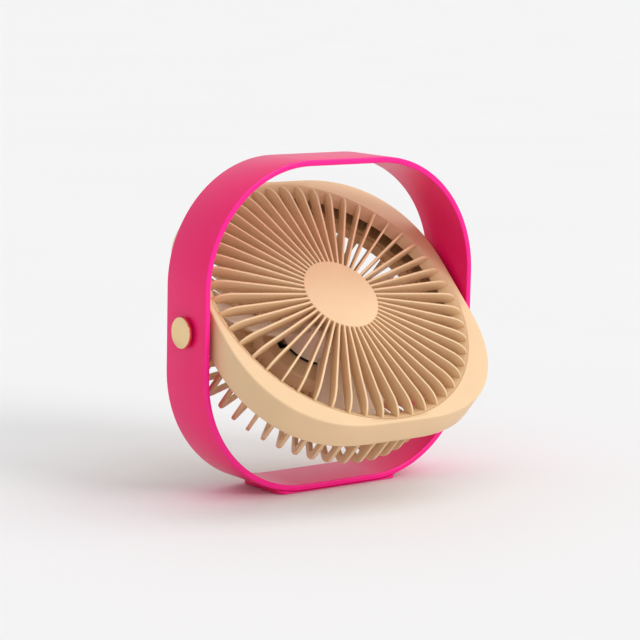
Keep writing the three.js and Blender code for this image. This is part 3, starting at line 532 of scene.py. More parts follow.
@contextmanager
def editing(piece: bpy.types.Object) -> Iterator[Callable[[], bmesh.types.BMesh]]:
    """Opens a piece in edit mode with everything selected.

    Args:
        piece: The piece.

    Yields:
        A function that gives the mesh as it is now.
    """
    take(piece)
    bpy.ops.object.mode_set(mode="EDIT")
    bpy.ops.mesh.select_all(action="SELECT")
    yield lambda: bmesh.from_edit_mesh(piece.data)
    bpy.ops.object.mode_set(mode="OBJECT")


def tidy(piece: bpy.types.Object) -> None:
    """Merges doubled points and turns all faces outwards."""
    with editing(piece):
        bpy.ops.mesh.remove_doubles(threshold=MERGE)
        bpy.ops.mesh.normals_make_consistent(inside=False)


def named(name: str) -> bpy.types.Object:
    """The primitive just added, with its place in its mesh and a name.

    Args:
        name: Its name.

    Returns:
        The piece.
    """
    piece = bpy.context.object
    piece.name = name
    piece.data.name = name
    bpy.ops.object.transform_apply(location=True, rotation=True, scale=True)
    return piece


def block(name: str, low: Sequence[float], high: Sequence[float]) -> bpy.types.Object:
    """A box between two corners.

    Args:
        name: The piece's name.
        low: Its lowest corner.
        high: Its highest corner.

    Returns:
        The box.
    """
    bpy.ops.object.select_all(action="DESELECT")
    size = [b - a for a, b in zip(low, high)]
    centre = [(a + b) / 2 for a, b in zip(low, high)]
    bpy.ops.mesh.primitive_cube_add(size=1.0, location=centre, scale=size)
    return named(name)


def rod(name: str, radius: float, bottom: float, top: float, sides: int = 48) -> bpy.types.Object:
    """A round bar along +Z.

    Args:
        name: The piece's name.
        radius: Its radius.
        bottom: The height of its lower end.
        top: The height of its upper end.
        sides: How many faces go round.

    Returns:
        The bar.
    """
    bpy.ops.object.select_all(action="DESELECT")
    centre = (0.0, 0.0, (bottom + top) / 2)
    bpy.ops.mesh.primitive_cylinder_add(
        vertices=sides, radius=radius, depth=top - bottom, location=centre
    )
    return named(name)


def round_corners(
    piece: bpy.types.Object, axis: int, radius: float, segments: int = 10, profile: float = 0.5
) -> None:
    """Rounds the four edges of a box that run along one axis.

    Args:
        piece: The box.
        axis: 0, 1 or 2 for X, Y or Z.
        radius: The corner radius.
        segments: How many faces each corner gets.
        profile: 0.5 for a circular corner, more for a fuller one.
    """
    with editing(piece) as mesh:
        bpy.ops.mesh.select_all(action="DESELECT")
        bpy.ops.mesh.select_mode(type="EDGE")
        for edge in mesh().edges:
            way = edge.verts[1].co - edge.verts[0].co
            edge.select_set(abs(way[axis]) > 0.99 * way.length)
        bmesh.update_edit_mesh(piece.data)
        bpy.ops.mesh.bevel(offset=radius, segments=segments, profile=profile, affect="EDGES")


def loft(name: str, rings: Sequence[Ring]) -> bpy.types.Object:
    """A closed band whose section runs through a cycle of rings.

    A circle is extruded ring by ring, each new loop is moved on to the next ring, and the last
    loop comes back to the first.

    Args:
        name: The piece's name.
        rings: Rings with the same number of points, in order round the section.

    Returns:
        The band.
    """
    bpy.ops.object.select_all(action="DESELECT")
    bpy.ops.mesh.primitive_circle_add(vertices=len(rings[0]), radius=1.0)
    piece = named(name)
    with editing(piece) as mesh:
        order = mesh().verts.layers.int.new("order")
        for number, vertex in enumerate(mesh().verts):
            vertex[order] = number
            vertex.co = rings[0][number]
        for ring in [*rings[1:], rings[0]]:
            bpy.ops.mesh.extrude_edges_indiv()
            opened = mesh()
            order = opened.verts.layers.int["order"]
            for vertex in opened.verts:
                if vertex.select:
                    vertex.co = ring[vertex[order]]
            bmesh.update_edit_mesh(piece.data)
    tidy(piece)
    piece.data.attributes.remove(piece.data.attributes["order"])
    return piece


def turned(name: str, profile: Profile, steps: int = 96) -> bpy.types.Object:
    """A solid spun round +Z from a profile that ends on the axis or closes on itself.

    Args:
        name: The piece's name.
        profile: [radius, height] points.
        steps: How many faces go round.

    Returns:
        The solid.
    """
    bpy.ops.object.select_all(action="DESELECT")
    bpy.ops.mesh.primitive_circle_add(vertices=len(profile), radius=1.0)
    piece = named(name)
    ends_on_axis = profile[0][0] == 0.0 and profile[-1][0] == 0.0
    with editing(piece) as mesh:
        vertices = list(mesh().verts)
        for vertex, (radius, height) in zip(vertices, profile):
            vertex.co = (radius, 0.0, height)
        bmesh.update_edit_mesh(piece.data)
        if ends_on_axis:
            opened = mesh()
            opened.verts.ensure_lookup_table()
            ends = {opened.verts[0], opened.verts[-1]}
            closing = [edge for edge in opened.edges if set(edge.verts) == ends]
            for edge in opened.edges:
                edge.select_set(False)
            closing[0].select_set(True)
            bmesh.update_edit_mesh(piece.data)
            bpy.ops.mesh.delete(type="EDGE")
        bpy.ops.mesh.select_all(action="SELECT")
        bpy.ops.mesh.spin(steps=steps, angle=TURN, center=(0.0, 0.0, 0.0), axis=(0.0, 0.0, 1.0))
    tidy(piece)
    return piece


def plate(name: str, outline: Profile, thickness: float) -> bpy.types.Object:
    """A flat plate in the XZ plane, centred on it.

    Args:
        name: The piece's name.
        outline: [across, up] points.
        thickness: The plate's thickness along Y.

    Returns:
        The plate.
    """
    bpy.ops.object.select_all(action="DESELECT")
    bpy.ops.mesh.primitive_circle_add(vertices=len(outline), radius=1.0)
    piece = named(name)
    with editing(piece) as mesh:
        for vertex, (across, up) in zip(mesh().verts, outline):
            vertex.co = (across, -thickness / 2, up)
        bmesh.update_edit_mesh(piece.data)
        bpy.ops.mesh.edge_face_add()
        bpy.ops.mesh.extrude_region_move(TRANSFORM_OT_translate={"value": (0.0, thickness, 0.0)})
    tidy(piece)
    return piece


def soften(piece: bpy.types.Object, width: float, segments: int = 2, angle: float = 35.0) -> None:
    """Rounds a piece's sharp edges.

    Args:
        piece: The piece.
        width: The rounding's width.
        segments: How many faces it has across.
        angle: Edges sharper than this many degrees are rounded.
    """
    take(piece)
    made = piece.modifiers.new("rounding", "BEVEL")
    made.width = width
    made.segments = segments
    made.limit_method = "ANGLE"
    made.angle_limit = math.radians(angle)
    made.use_clamp_overlap = True
    bpy.ops.object.modifier_apply(modifier=made.name)


def combine(piece: bpy.types.Object, tool: bpy.types.Object, operation: str) -> None:
    """Combines a piece with a tool, which is used up.

    Args:
        piece: The piece that is kept.
        tool: The solid that cuts it or joins it.
        operation: "DIFFERENCE" or "UNION".
    """
    take(piece)
    made = piece.modifiers.new("combine", "BOOLEAN")
    made.object = tool
    made.operation = operation
    made.solver = "EXACT"
    bpy.ops.object.modifier_apply(modifier=made.name)
    bpy.data.objects.remove(tool)


def drill(
    piece: bpy.types.Object, place: Matrix, radius: float, bottom: float, top: float, sides: int = 48
) -> None:
    """Drills a round hole in a piece.

    Args:
        piece: The piece.
        place: Where the hole's +Z axis lies.
        radius: The hole's radius.
        bottom: Where it starts along the axis.
        top: Where it ends.
        sides: How many faces go round.
    """
    combine(piece, moved(rod("drill", radius, bottom, top, sides), place), "DIFFERENCE")


def together(name: str, *pieces: bpy.types.Object) -> bpy.types.Object:
    """Several pieces as one object.

    Args:
        name: The object's name.
        *pieces: The pieces, which are used up.

    Returns:
        The object.
    """
    take(*pieces)
    bpy.ops.object.join()
    joined = bpy.context.object
    joined.name = name
    joined.data.name = name
    return joined


def repeat_round(piece: bpy.types.Object, count: int) -> None:
    """Repeats a piece's mesh round +Z.

    Args:
        piece: The piece.
        count: How many times it stands in the end.
    """
    with editing(piece):
        for _ in range(count - 1):
            bpy.ops.mesh.duplicate()
            bpy.ops.transform.rotate(
                value=TURN / count, orient_axis="Z", center_override=(0.0, 0.0, 0.0)
            )


def moved(piece: bpy.types.Object, matrix: Matrix) -> bpy.types.Object:
    """Moves and turns a piece, with the result in its mesh.

    Args:
        piece: The piece.
        matrix: The move and turn.

    Returns:
        The same piece.
    """
    take(piece)
    piece.matrix_world = matrix
    bpy.ops.object.transform_apply(location=True, rotation=True, scale=True)
    return piece


def copied(piece: bpy.types.Object, name: str) -> bpy.types.Object:
    """A copy of a piece with its own mesh.

    Args:
        piece: The piece.
        name: The copy's name.

    Returns:
        The copy.
    """
    take(piece)
    bpy.ops.object.duplicate(linked=False)
    copy = bpy.context.object
    copy.name = name
    copy.data.name = name
    return copy


def smooth(piece: bpy.types.Object, angle: float = 32.0) -> None:
    """Shades a piece smooth, but keeps edges sharper than an angle crisp."""
    take(piece)
    bpy.ops.object.shade_smooth_by_angle(angle=math.radians(angle))


def dress(piece: bpy.types.Object, material: bpy.types.Material) -> None:
    """Gives a piece one material all over."""
    piece.data.materials.clear()
    piece.data.materials.append(material)


def settle(
    piece: bpy.types.Object, body: str, material: bpy.types.Material, slot: Slot, *nodes: str
) -> bpy.types.Object:
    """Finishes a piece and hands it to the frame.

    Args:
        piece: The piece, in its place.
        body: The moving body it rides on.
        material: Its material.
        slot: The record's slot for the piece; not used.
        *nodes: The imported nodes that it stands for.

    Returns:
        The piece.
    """
    smooth(piece)
    dress(piece, material)
    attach(piece, body)
    if nodes:
        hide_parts(*nodes)
    LOG.info("%s: %d faces, rides on %s", piece.name, len(piece.data.polygons), body)
    return piece


# ------------------------------------------------------------------------------- head frame


@dataclass
class HeadFrame:
    """Where the head hangs: its origin on the tilt axis and how far it is turned."""

    origin: Vector
    forward: Vector
    nodes: dict[str, bpy.types.Object]

    @classmethod
    def read(cls, frame: dict[str, Any]) -> "HeadFrame":
        """Reads the head's place from the impeller's joint.


        Returns:
            The head's frame.
        """
        joint = next(entry for entry in frame["joints"] if entry["name"] == "impeller_spin")
        return cls(Vector(joint["pos_m"]), Vector(joint["axis"]).normalized(), frame["nodes"])

    @property
    def tilt(self) -> float:
        """How far the head's own frame is turned about X, in radians."""
        return math.atan2(-self.forward.y, self.forward.z)

    @property
    def matrix(self) -> Matrix:
        """From the head's own frame to the fan's."""
        return Matrix.Translation(self.origin) @ Matrix.Rotation(self.tilt, 4, "X")

    def span(self, node: str) -> tuple[Vector, Vector]:
        """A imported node's box in the head's own frame.

        Args:
            node: The node's name.

        Returns:
            Its lowest and highest corners.
        """
        back = self.matrix.inverted()
        points = [back @ vertex.co for vertex in self.nodes[node].data.vertices]
        low = Vector([min(point[axis] for point in points) for axis in range(3)])
        high = Vector([max(point[axis] for point in points) for axis in range(3)])
        return low, high


def on_circle(radius: float, degrees: float) -> tuple[float, float]:
    """A point on a circle round the origin."""
    return radius * math.cos(math.radians(degrees)), radius * math.sin(math.radians(degrees))


def arc(centre: tuple[float, float], radius: float, start: float, end: float, steps: int) -> Profile:
    """Points along an arc, ends included.

    Args:
        centre: The arc's centre.
        radius: Its radius.
        start: Its first angle, in degrees.
        end: Its last angle, in degrees.
        steps: How many steps it takes.

    Returns:
        The points.
    """
    points = []
    for step in range(steps + 1):
        across, up = on_circle(radius, start + (end - start) * step / steps)
        points.append((centre[0] + across, centre[1] + up))
    return points


def along_tilt_axis(side: int) -> Matrix:
    """Lays a piece made along +Z along the tilt axis, pointing right (1) or left (-1)."""
    return Matrix.Rotation(side * math.pi / 2, 4, "Y")


# ------------------------------------------------------------------------------------- stand


@dataclass
class Stand:
    """The pink hoop and its foot."""

    material: bpy.types.Material
    pivot_height: float
    wall: float = 0.0036
    corner: float = 0.0736
    edge: float = 0.0008
    bush_hole: float = 0.0062
    foot_corner: float = 0.005
    foot_edge: float = 0.0005
    gap: float = 0.0003
    boss_half: tuple[float, float] = (0.031, 0.015)
    boss_bottom: float = 0.0002
    boss_top: float = 0.0029
    pocket_top: float = 0.0032
    pad_room: tuple[float, float, float] = (0.0566, 0.0246, 0.0013)
    pad_room_corner: float = 0.0043
    pad_corner: float = 0.004
    pad_edge: float = 0.0002
    groove_pitch: float = 0.004
    groove_half_width: float = 0.0005
    groove_depth: float = 0.0003

    def _band(self, name: str, inset: float, half_depth: float) -> bpy.types.Object:
        """A rounded block that fills the hoop, brought in by an inset.

        Args:
            name: The block's name.
            inset: How far inside the hoop's outer face it is.
            half_depth: Half its depth along Y.

        Returns:
            The block.
        """
        low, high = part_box("hoop_frame")
        corners = (
            (low.x + inset, -half_depth, low.z + inset),
            (high.x - inset, half_depth, high.z - inset),
        )
        filled = block(name, *corners)
        round_corners(filled, 1, self.corner - inset, segments=32)
        return filled

    def hoop(self) -> bpy.types.Object:
        """Builds the hoop: a rounded block, hollowed right through, with eased edges.

        Returns:
            The hoop.
        """
        low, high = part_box("hoop_frame")
        half_depth = (high.y - low.y) / 2
        hoop = self._band("hoop_band", 0.0, half_depth)
        combine(hoop, self._band("hollow", self.wall, half_depth * 2), "DIFFERENCE")
        soften(hoop, self.edge, segments=4, angle=60.0)
        turn = Matrix.Translation((0.0, 0.0, self.pivot_height)) @ along_tilt_axis(1)
        drill(hoop, turn, self.bush_hole, low.x - CLEAR, high.x + CLEAR, sides=64)
        half_x, half_y = (half + self.gap for half in self.boss_half)
        pocket = block("pocket", (-half_x, -half_y, -CLEAR), (half_x, half_y, self.pocket_top))
        combine(hoop, pocket, "DIFFERENCE")
        return settle(hoop, "stand", self.material, Slot.PINK, "hoop_frame")

    def foot(self) -> bpy.types.Object:
        """Builds the foot: a rounded plate hollowed to the hoop's curve, with a boss on top.

        Returns:
            The foot.
        """
        low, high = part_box("base_foot")
        hoop_low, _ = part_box("hoop_frame")
        foot = block("foot_plate", low, (high.x, high.y, hoop_low.z + self.wall))
        round_corners(foot, 2, self.foot_corner, segments=12)
        combine(foot, self._band("hollow", -self.gap, high.y + CLEAR), "DIFFERENCE")
        soften(foot, self.foot_edge, segments=3, angle=50.0)
        half_x, half_y = self.boss_half
        boss_low = low.z + self.boss_bottom
        boss = block("boss", (-half_x, -half_y, boss_low), (half_x, half_y, self.boss_top))
        combine(foot, boss, "UNION")
        length, width, top = self.pad_room
        recess = block("recess", (-length / 2, -width / 2, -CLEAR), (length / 2, width / 2, top))
        round_corners(recess, 2, self.pad_room_corner)
        combine(foot, recess, "DIFFERENCE")
        return settle(foot, "stand", self.material, Slot.PINK, "base_foot")

    def pad(self, material: bpy.types.Material) -> bpy.types.Object:
        """Builds the soft pad: a rounded plate with a row of grip grooves across its underside.

        Args:
            material: The pad's rubber.

        Returns:
            The pad.
        """
        low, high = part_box("anti_slip_pad")
        pad = block("grip_pad", low, high)
        round_corners(pad, 2, self.pad_corner)
        soften(pad, self.pad_edge)
        pitch, half_width = self.groove_pitch, self.groove_half_width
        count = int((high.x - low.x - 2 * pitch) / pitch)
        for number in range(count + 1):
            centre = (number - count / 2) * pitch
            near = (centre - half_width, low.y - CLEAR, -CLEAR)
            far = (centre + half_width, high.y + CLEAR, self.groove_depth)
            combine(pad, block("groove", near, far), "DIFFERENCE")
        return settle(pad, "stand", material, Slot.RUBBER, "anti_slip_pad")


# -------------------------------------------------------------------------------------- head


@dataclass
class Outline:
    """The head's rounded-square outline, drawn in the head's own frame."""

    half_width: float
    half_height: float
    front: float
    lean: float = 0.001
    depth: float = 0.020
    corner: float = 0.0755
    fullness: float = 2.3
    corner_steps: int = 22
    side_steps: int = 5

    def points(self, inset: float) -> Profile:
        """The outline, anticlockwise from its right side.

        Args:
            inset: How far it is brought in.

        Returns:
            Its points.
        """
        width, height = self.half_width - inset, self.half_height - inset
        corner = self.corner - inset
        points = []
        for quarter, (side_x, side_y) in enumerate(((1, 1), (-1, 1), (-1, -1), (1, -1))):
            shares = [step / self.corner_steps for step in range(self.corner_steps + 1)]
            if quarter % 2:
                shares.reverse()
            for share in shares:
                across = math.cos(share * math.pi / 2) ** (2 / self.fullness)
                up = max(0.0, math.sin(share * math.pi / 2)) ** (2 / self.fullness)
                x = width - corner + corner * across
                y = height - corner + corner * up
                points.append((side_x * x, side_y * y))
        return self._with_sides(points)

    def _with_sides(self, points: Profile) -> Profile:
        """Adds points along the straight sides.

        Args:
            points: The corners' points.

        Returns:
            All the outline's points.
        """
        per_corner = self.corner_steps + 1
        full = []
        for number, point in enumerate(points):
            full.append(point)
            if number % per_corner != self.corner_steps:
                continue
            following = points[(number + 1) % len(points)]
            for step in range(1, self.side_steps):
                share = step / self.side_steps
                full.append(tuple(a + (b - a) * share for a, b in zip(point, following)))
        return full

    def wall(self, inset: float, height: float) -> Ring:
        """A ring along the outline, lower down the further back it is."""
        drop = self.lean * (self.front - height) / self.depth
        return [Vector((x, y - drop, height)) for x, y in self.points(inset)]

    def circle(self, radius: float, height: float) -> Ring:
        """A round ring whose points face those of the outline.

        Args:
            radius: The ring's radius.
            height: Its height.

        Returns:
            The ring.
        """
        ring = []
        for x, y in self.points(0.0):
            reach = math.hypot(x, y)
            ring.append(Vector((x / reach * radius, y / reach * radius, height)))
        return ring


@dataclass
class HeadMouldings:
    """The cream mouldings of the head: rim, grille, housing, cage and pod cap."""

    place: HeadFrame
    material: bpy.types.Material
    rib_count: int = 50
    rib_phase: float = 2.0
    opening: float = 0.0872
    disc: float = 0.025
    shell: float = 0.002
    rim_edge: float = 0.0012
    back_edge: float = 0.0015
    wall_depth: float = 0.020
    lip_height: float = 0.005
    lip_wall: float = 0.0012
    gap: float = 0.0003
    funnel_width: float = 0.005
    lip_drop: float = 0.001
    throat_depth: float = 0.0062
    cage_radius: float = 0.0864
    cage_rib_depth: float = 0.005
    cage_bend: float = 0.008
    pod_radius: float = 0.034
    pod_wall: float = 0.0018
    pod_face: float = -0.019
    pod_floor: float = -0.021
    pod_edge: float = 0.0012
    cap_edge: float = 0.001
    cage_ring_back: float = -0.004
    rib_thickness: float = 0.0014
    cage_rib_thickness: float = 0.0024
    rib_depth: float = 0.0085
    disc_edge: float = 0.0007
    chamfer: float = 0.0003
    lug_radius: float = 0.0075
    stud_hole: float = 0.0032
    stud_hole_depth: float = 0.006
    screw_seat: float = 0.0029
    screw_seat_depth: float = 0.0011
    screw_hole: float = 0.0015
    screw_hole_depth: float = 0.003
    cap_screw_inset: float = 0.0055
    button_spot: tuple[float, float] = (0.0, -0.007)
    button_hole: float = 0.0058
    button_ring: tuple[float, float] = (0.0085, 0.0092)
    light_spot: tuple[float, float] = (0.0105, -0.007)
    light_hole: float = 0.0015
    slot_low: tuple[float, float] = (-0.0048, -0.02495)
    slot_high: tuple[float, float] = (0.0048, -0.02105)
    slot_corner: float = 0.0019
    lead_hole_low: tuple[float, float, float] = (-0.0253, -0.0052, -0.03)
    lead_hole_high: tuple[float, float, float] = (-0.0193, 0.0008, -0.01)
    outline: Outline = field(init=False)
    rim_front: float = field(init=False)
    grille_front: float = field(init=False)
    grille_back: float = field(init=False)
    cage_back: float = field(init=False)

    def __post_init__(self) -> None:
        """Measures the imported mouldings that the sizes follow."""
        _, rim_high = self.place.span("front_rim")
        _, grille_high = self.place.span("front_grille")
        cage_low, _ = self.place.span("rear_cage")
        self.rim_front = rim_high.z
        self.grille_front = grille_high.z
        self.grille_back = self.grille_front - self.rib_depth
        self.cage_back = cage_low.z + 0.0002
        self.outline = Outline(rim_high.x, rim_high.y, self.rim_front)

    def _finish(self, piece: bpy.types.Object, *nodes: str) -> bpy.types.Object:
        """Lays a piece on to the head and hands it to the frame.

        Args:
            piece: The piece, flat.
            *nodes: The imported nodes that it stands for.

        Returns:
            The piece.
        """
        moved(piece, self.place.matrix)
        return settle(piece, "head", self.material, Slot.CREAM, *nodes)

    def rim(self) -> bpy.types.Object:
        """Builds the front rim: the side wall, both its rounded edges and the front plate.

        Returns:
            The rim.
        """
        line, front, back = self.outline, self.rim_front, self.rim_front - self.wall_depth
        hole = self.opening + 0.0014
        quarter = [math.radians(15 * step) for step in range(7)]
        turns = [(1 - math.sin(turn), 1 - math.cos(turn)) for turn in quarter]
        near, far = self.back_edge, self.rim_edge
        back_rounding = [line.wall(near * sine, back + near * cosine) for sine, cosine in turns]
        front_rounding = [line.wall(far * cosine, front - far * sine) for sine, cosine in turns]
        rings = [
            *back_rounding,
            *front_rounding,
            line.circle(hole + self.chamfer, front - self.lip_drop + 0.0001),
            line.circle(hole, front - self.lip_drop - 0.0002),
            line.circle(hole, front - self.shell),
            line.wall(self.shell, front - self.shell),
            line.wall(self.shell, back),
        ]
        rim = loft("rim_moulding", rings)
        for side in (-1, 1):
            room, outside = self.lug_radius + self.gap, self.outline.half_width + CLEAR
            drill(rim, along_tilt_axis(side), room, self.cage_radius, outside)
        return self._finish(rim, "front_rim")

    def _rib_outline(self) -> Profile:
        """The front rib's outline: straight, then rounded down on to the funnel.

        Returns:
            [radius, height] points.
        """
        top, bottom = self.grille_front, self.grille_back
        start, control = (self.opening - 0.0112, top), (self.opening - 0.002, top - 0.0004)
        end = (self.opening + 0.0008, self.rim_front - self.lip_drop - 0.0004)
        bend = []
        for step in range(9):
            share = step / 8
            bend.append(tuple(
                (1 - share) ** 2 * a + 2 * share * (1 - share) * b + share**2 * c
                for a, b, c in zip(start, control, end)
            ))
        throat = self.opening - self.funnel_width
        return [
            (self.disc - 0.001, bottom),
            (self.disc - 0.001, top - 0.0002),
            (self.disc + 0.001, top),
            *bend,
            (throat + 0.001, self.rim_front - self.throat_depth + 0.0006),
            (throat - 0.0006, bottom),
        ]

    def grille(self) -> bpy.types.Object:
        """Builds the front grille: funnel ring, blank centre disc and the ribs between them.

        Returns:
            The grille.
        """
        line, front = self.outline, self.rim_front
        edge = self.opening + 0.0013
        throat = self.opening - self.funnel_width
        flange = front - self.shell - self.gap
        slope = Vector((edge - throat, self.throat_depth - self.lip_drop))
        funnel = loft("funnel", [
            line.circle(edge, front - self.lip_drop),
            *(
                line.circle(
                    edge - slope.x * share,
                    front - self.lip_drop - slope.y * (share + 0.35 * share * (share - 1)),
                )
                for share in (0.12, 0.25, 0.4, 0.55, 0.7, 0.85)
            ),
            line.circle(throat, front - self.throat_depth + 0.0003),
            line.circle(throat + 0.0003, front - self.throat_depth),
            line.circle(throat + 0.0016, front - self.throat_depth - 0.0006),
            line.circle(edge + 0.0008, flange - 0.0016),
            line.circle(edge + 0.0008, flange),
            line.circle(edge, flange),
        ])
        top, bottom, disc = self.grille_front, self.grille_back, self.disc
        centre = turned("centre", [
            (0.0, top),
            *arc((disc - self.disc_edge, top - self.disc_edge), self.disc_edge, 90.0, 0.0, 4),
            (disc, bottom),
            (disc - self.shell, bottom),
            (disc - self.shell, top - self.shell),
            (0.0, top - self.shell),
        ], steps=128)
        rib = plate("rib", self._rib_outline(), self.rib_thickness)
        soften(rib, 0.0003)
        moved(rib, Matrix.Rotation(math.radians(self.rib_phase), 4, "Z"))
        repeat_round(rib, self.rib_count)
        grille = together("grille_moulding", rib, centre, funnel)
        return self._finish(grille, "front_grille")

    def housing(self) -> bpy.types.Object:
        """Builds the rear housing: back plate, lip, duct and pivot lugs.

        Returns:
            The housing.
        """
        line, back = self.outline, self.rim_front - self.wall_depth
        duct, duct_inside = self.cage_radius, self.cage_radius - self.shell
        inset, lip = self.shell + self.gap, self.shell + self.gap + self.lip_wall
        rings = [
            line.wall(inset, back + self.chamfer),
            line.wall(inset + self.chamfer, back),
            line.circle(duct, back),
            line.circle(duct, back - 0.001),
            line.circle(duct_inside, back - 0.001),
            line.circle(duct_inside, back + 0.004),
            line.circle(duct, back + 0.004),
            line.circle(duct + 0.0006, back + self.shell),
            line.wall(lip, back + self.shell),
            line.wall(lip, back + self.lip_height),
            line.wall(inset, back + self.lip_height),
        ]
        housing = loft("housing_moulding", rings)
        face = self.place.span("rear_housing")[1].x
        lug_face = self.outline.half_width + 0.0002
        for side in (-1, 1):
            sideways = along_tilt_axis(side)
            lug = rod("lug", self.lug_radius, duct + self.gap, min(lug_face, face))
            combine(housing, moved(lug, sideways), "UNION")
            start = lug_face - self.stud_hole_depth
            drill(housing, sideways, self.stud_hole, start, lug_face + CLEAR, sides=32)
        for number in range(1, 5):
            low, high = self.place.span(f"housing_screw_{number}")
            self._screw_seat(housing, (low + high) / 2, back, self.screw_hole_depth)
        return self._finish(housing, "rear_housing")

    def _screw_seat(self, piece: bpy.types.Object, spot: Vector, back: float, depth: float) -> None:
        """Cuts a screw's seat and hole into the back of a piece.

        Args:
            piece: The piece, flat.
            spot: A point on the screw's axis.
            back: The height of the piece's back face.
            depth: How deep the hole goes.
        """
        place = Matrix.Translation((spot.x, spot.y, 0.0))
        drill(piece, place, self.screw_seat, back - CLEAR, back + self.screw_seat_depth, sides=32)
        drill(piece, place, self.screw_hole, back - CLEAR, back + depth, sides=24)

    def _cage_rib_outline(self) -> Profile:
        """The cage rib's outline: back along the side, round the bend and in to the pod.

        Returns:
            [radius, height] points.
        """
        outside, depth = self.cage_radius, self.cage_rib_depth
        back, ring_back = self.cage_back, self.cage_ring_back
        centre = (outside - self.cage_bend, back + self.cage_bend)
        return [
            (outside - 0.0006, ring_back + 0.001),
            (outside, ring_back - 0.001),
            *arc(centre, self.cage_bend, 0.0, -90.0, 8),
            (self.pod_radius - 0.001, back),
            (self.pod_radius - 0.001, back + depth),
            *arc(centre, self.cage_bend - depth, -90.0, 0.0, 5),
            (outside - depth, ring_back + 0.001),
        ]

    def cage(self) -> bpy.types.Object:
        """Builds the rear cage: front ring, bent ribs and the pod's cup.

        Returns:
            The cage.
        """
        line, outside, ring_back = self.outline, self.cage_radius, self.cage_ring_back
        spigot = outside - self.shell - self.gap
        spigot_inside, spigot_front = spigot - self.lip_wall, 0.003
        ring = loft("cage_ring", [
            line.circle(outside, -self.gap),
            line.circle(outside, ring_back + 0.0004),
            line.circle(outside - 0.0004, ring_back),
            line.circle(spigot_inside, ring_back),
            line.circle(spigot_inside, spigot_front),
            line.circle(spigot, spigot_front),
            line.circle(spigot, -self.gap),
        ])
        pod, edge, cup_back = self.pod_radius, self.pod_edge, self.cage_back - 0.0002
        cup = turned("pod_cup", [
            (0.0, self.pod_face),
            *arc((pod - edge, self.pod_face - edge), edge, 90.0, 0.0, 4),
            (pod, cup_back),
            (pod - self.pod_wall, cup_back),
            (pod - self.pod_wall, self.pod_floor),
            (0.0, self.pod_floor),
        ])
        combine(cup, block("lead_hole", self.lead_hole_low, self.lead_hole_high), "DIFFERENCE")
        rib = plate("rib", self._cage_rib_outline(), self.cage_rib_thickness)
        soften(rib, 0.0005)
        moved(rib, Matrix.Rotation(math.radians(self.rib_phase), 4, "Z"))
        repeat_round(rib, self.rib_count)
        cage = together("cage_moulding", rib, cup, ring)
        return self._finish(cage, "rear_cage")

    def cap(self) -> bpy.types.Object:
        """Builds the pod's cap with its button hole, light, charging slot and screw seats.

        Returns:
            The cap.
        """
        low, high = self.place.span("rear_cap")
        back, inside, radius, edge = low.z, high.z, self.pod_radius, self.cap_edge
        start, end = back - CLEAR, inside + CLEAR
        cap = turned("pod_cap", [
            (0.0, inside),
            (radius - 0.0002, inside),
            (radius, inside - 0.0002),
            *arc((radius - edge, back + edge), edge, 0.0, -90.0, 5),
            (0.0, back),
        ])
        inner, outer = self.button_ring
        floor = back + self.chamfer
        groove = turned("groove", [(inner, start), (outer, start), (outer, floor), (inner, floor)], 48)
        button = Matrix.Translation((*self.button_spot, 0.0))
        combine(cap, moved(groove, button), "DIFFERENCE")
        drill(cap, button, self.button_hole, start, end)
        drill(cap, Matrix.Translation((*self.light_spot, 0.0)), self.light_hole, start, end, sides=24)
        slot = block("slot", (*self.slot_low, start), (*self.slot_high, end))
        round_corners(slot, 2, self.slot_corner, segments=8)
        combine(cap, slot, "DIFFERENCE")
        for degrees in (0.0, 180.0, 270.0):
            spot = Vector((*on_circle(radius - self.cap_screw_inset, degrees), 0.0))
            self._screw_seat(cap, spot, back, inside - back + CLEAR)
        return self._finish(cap, "rear_cap")


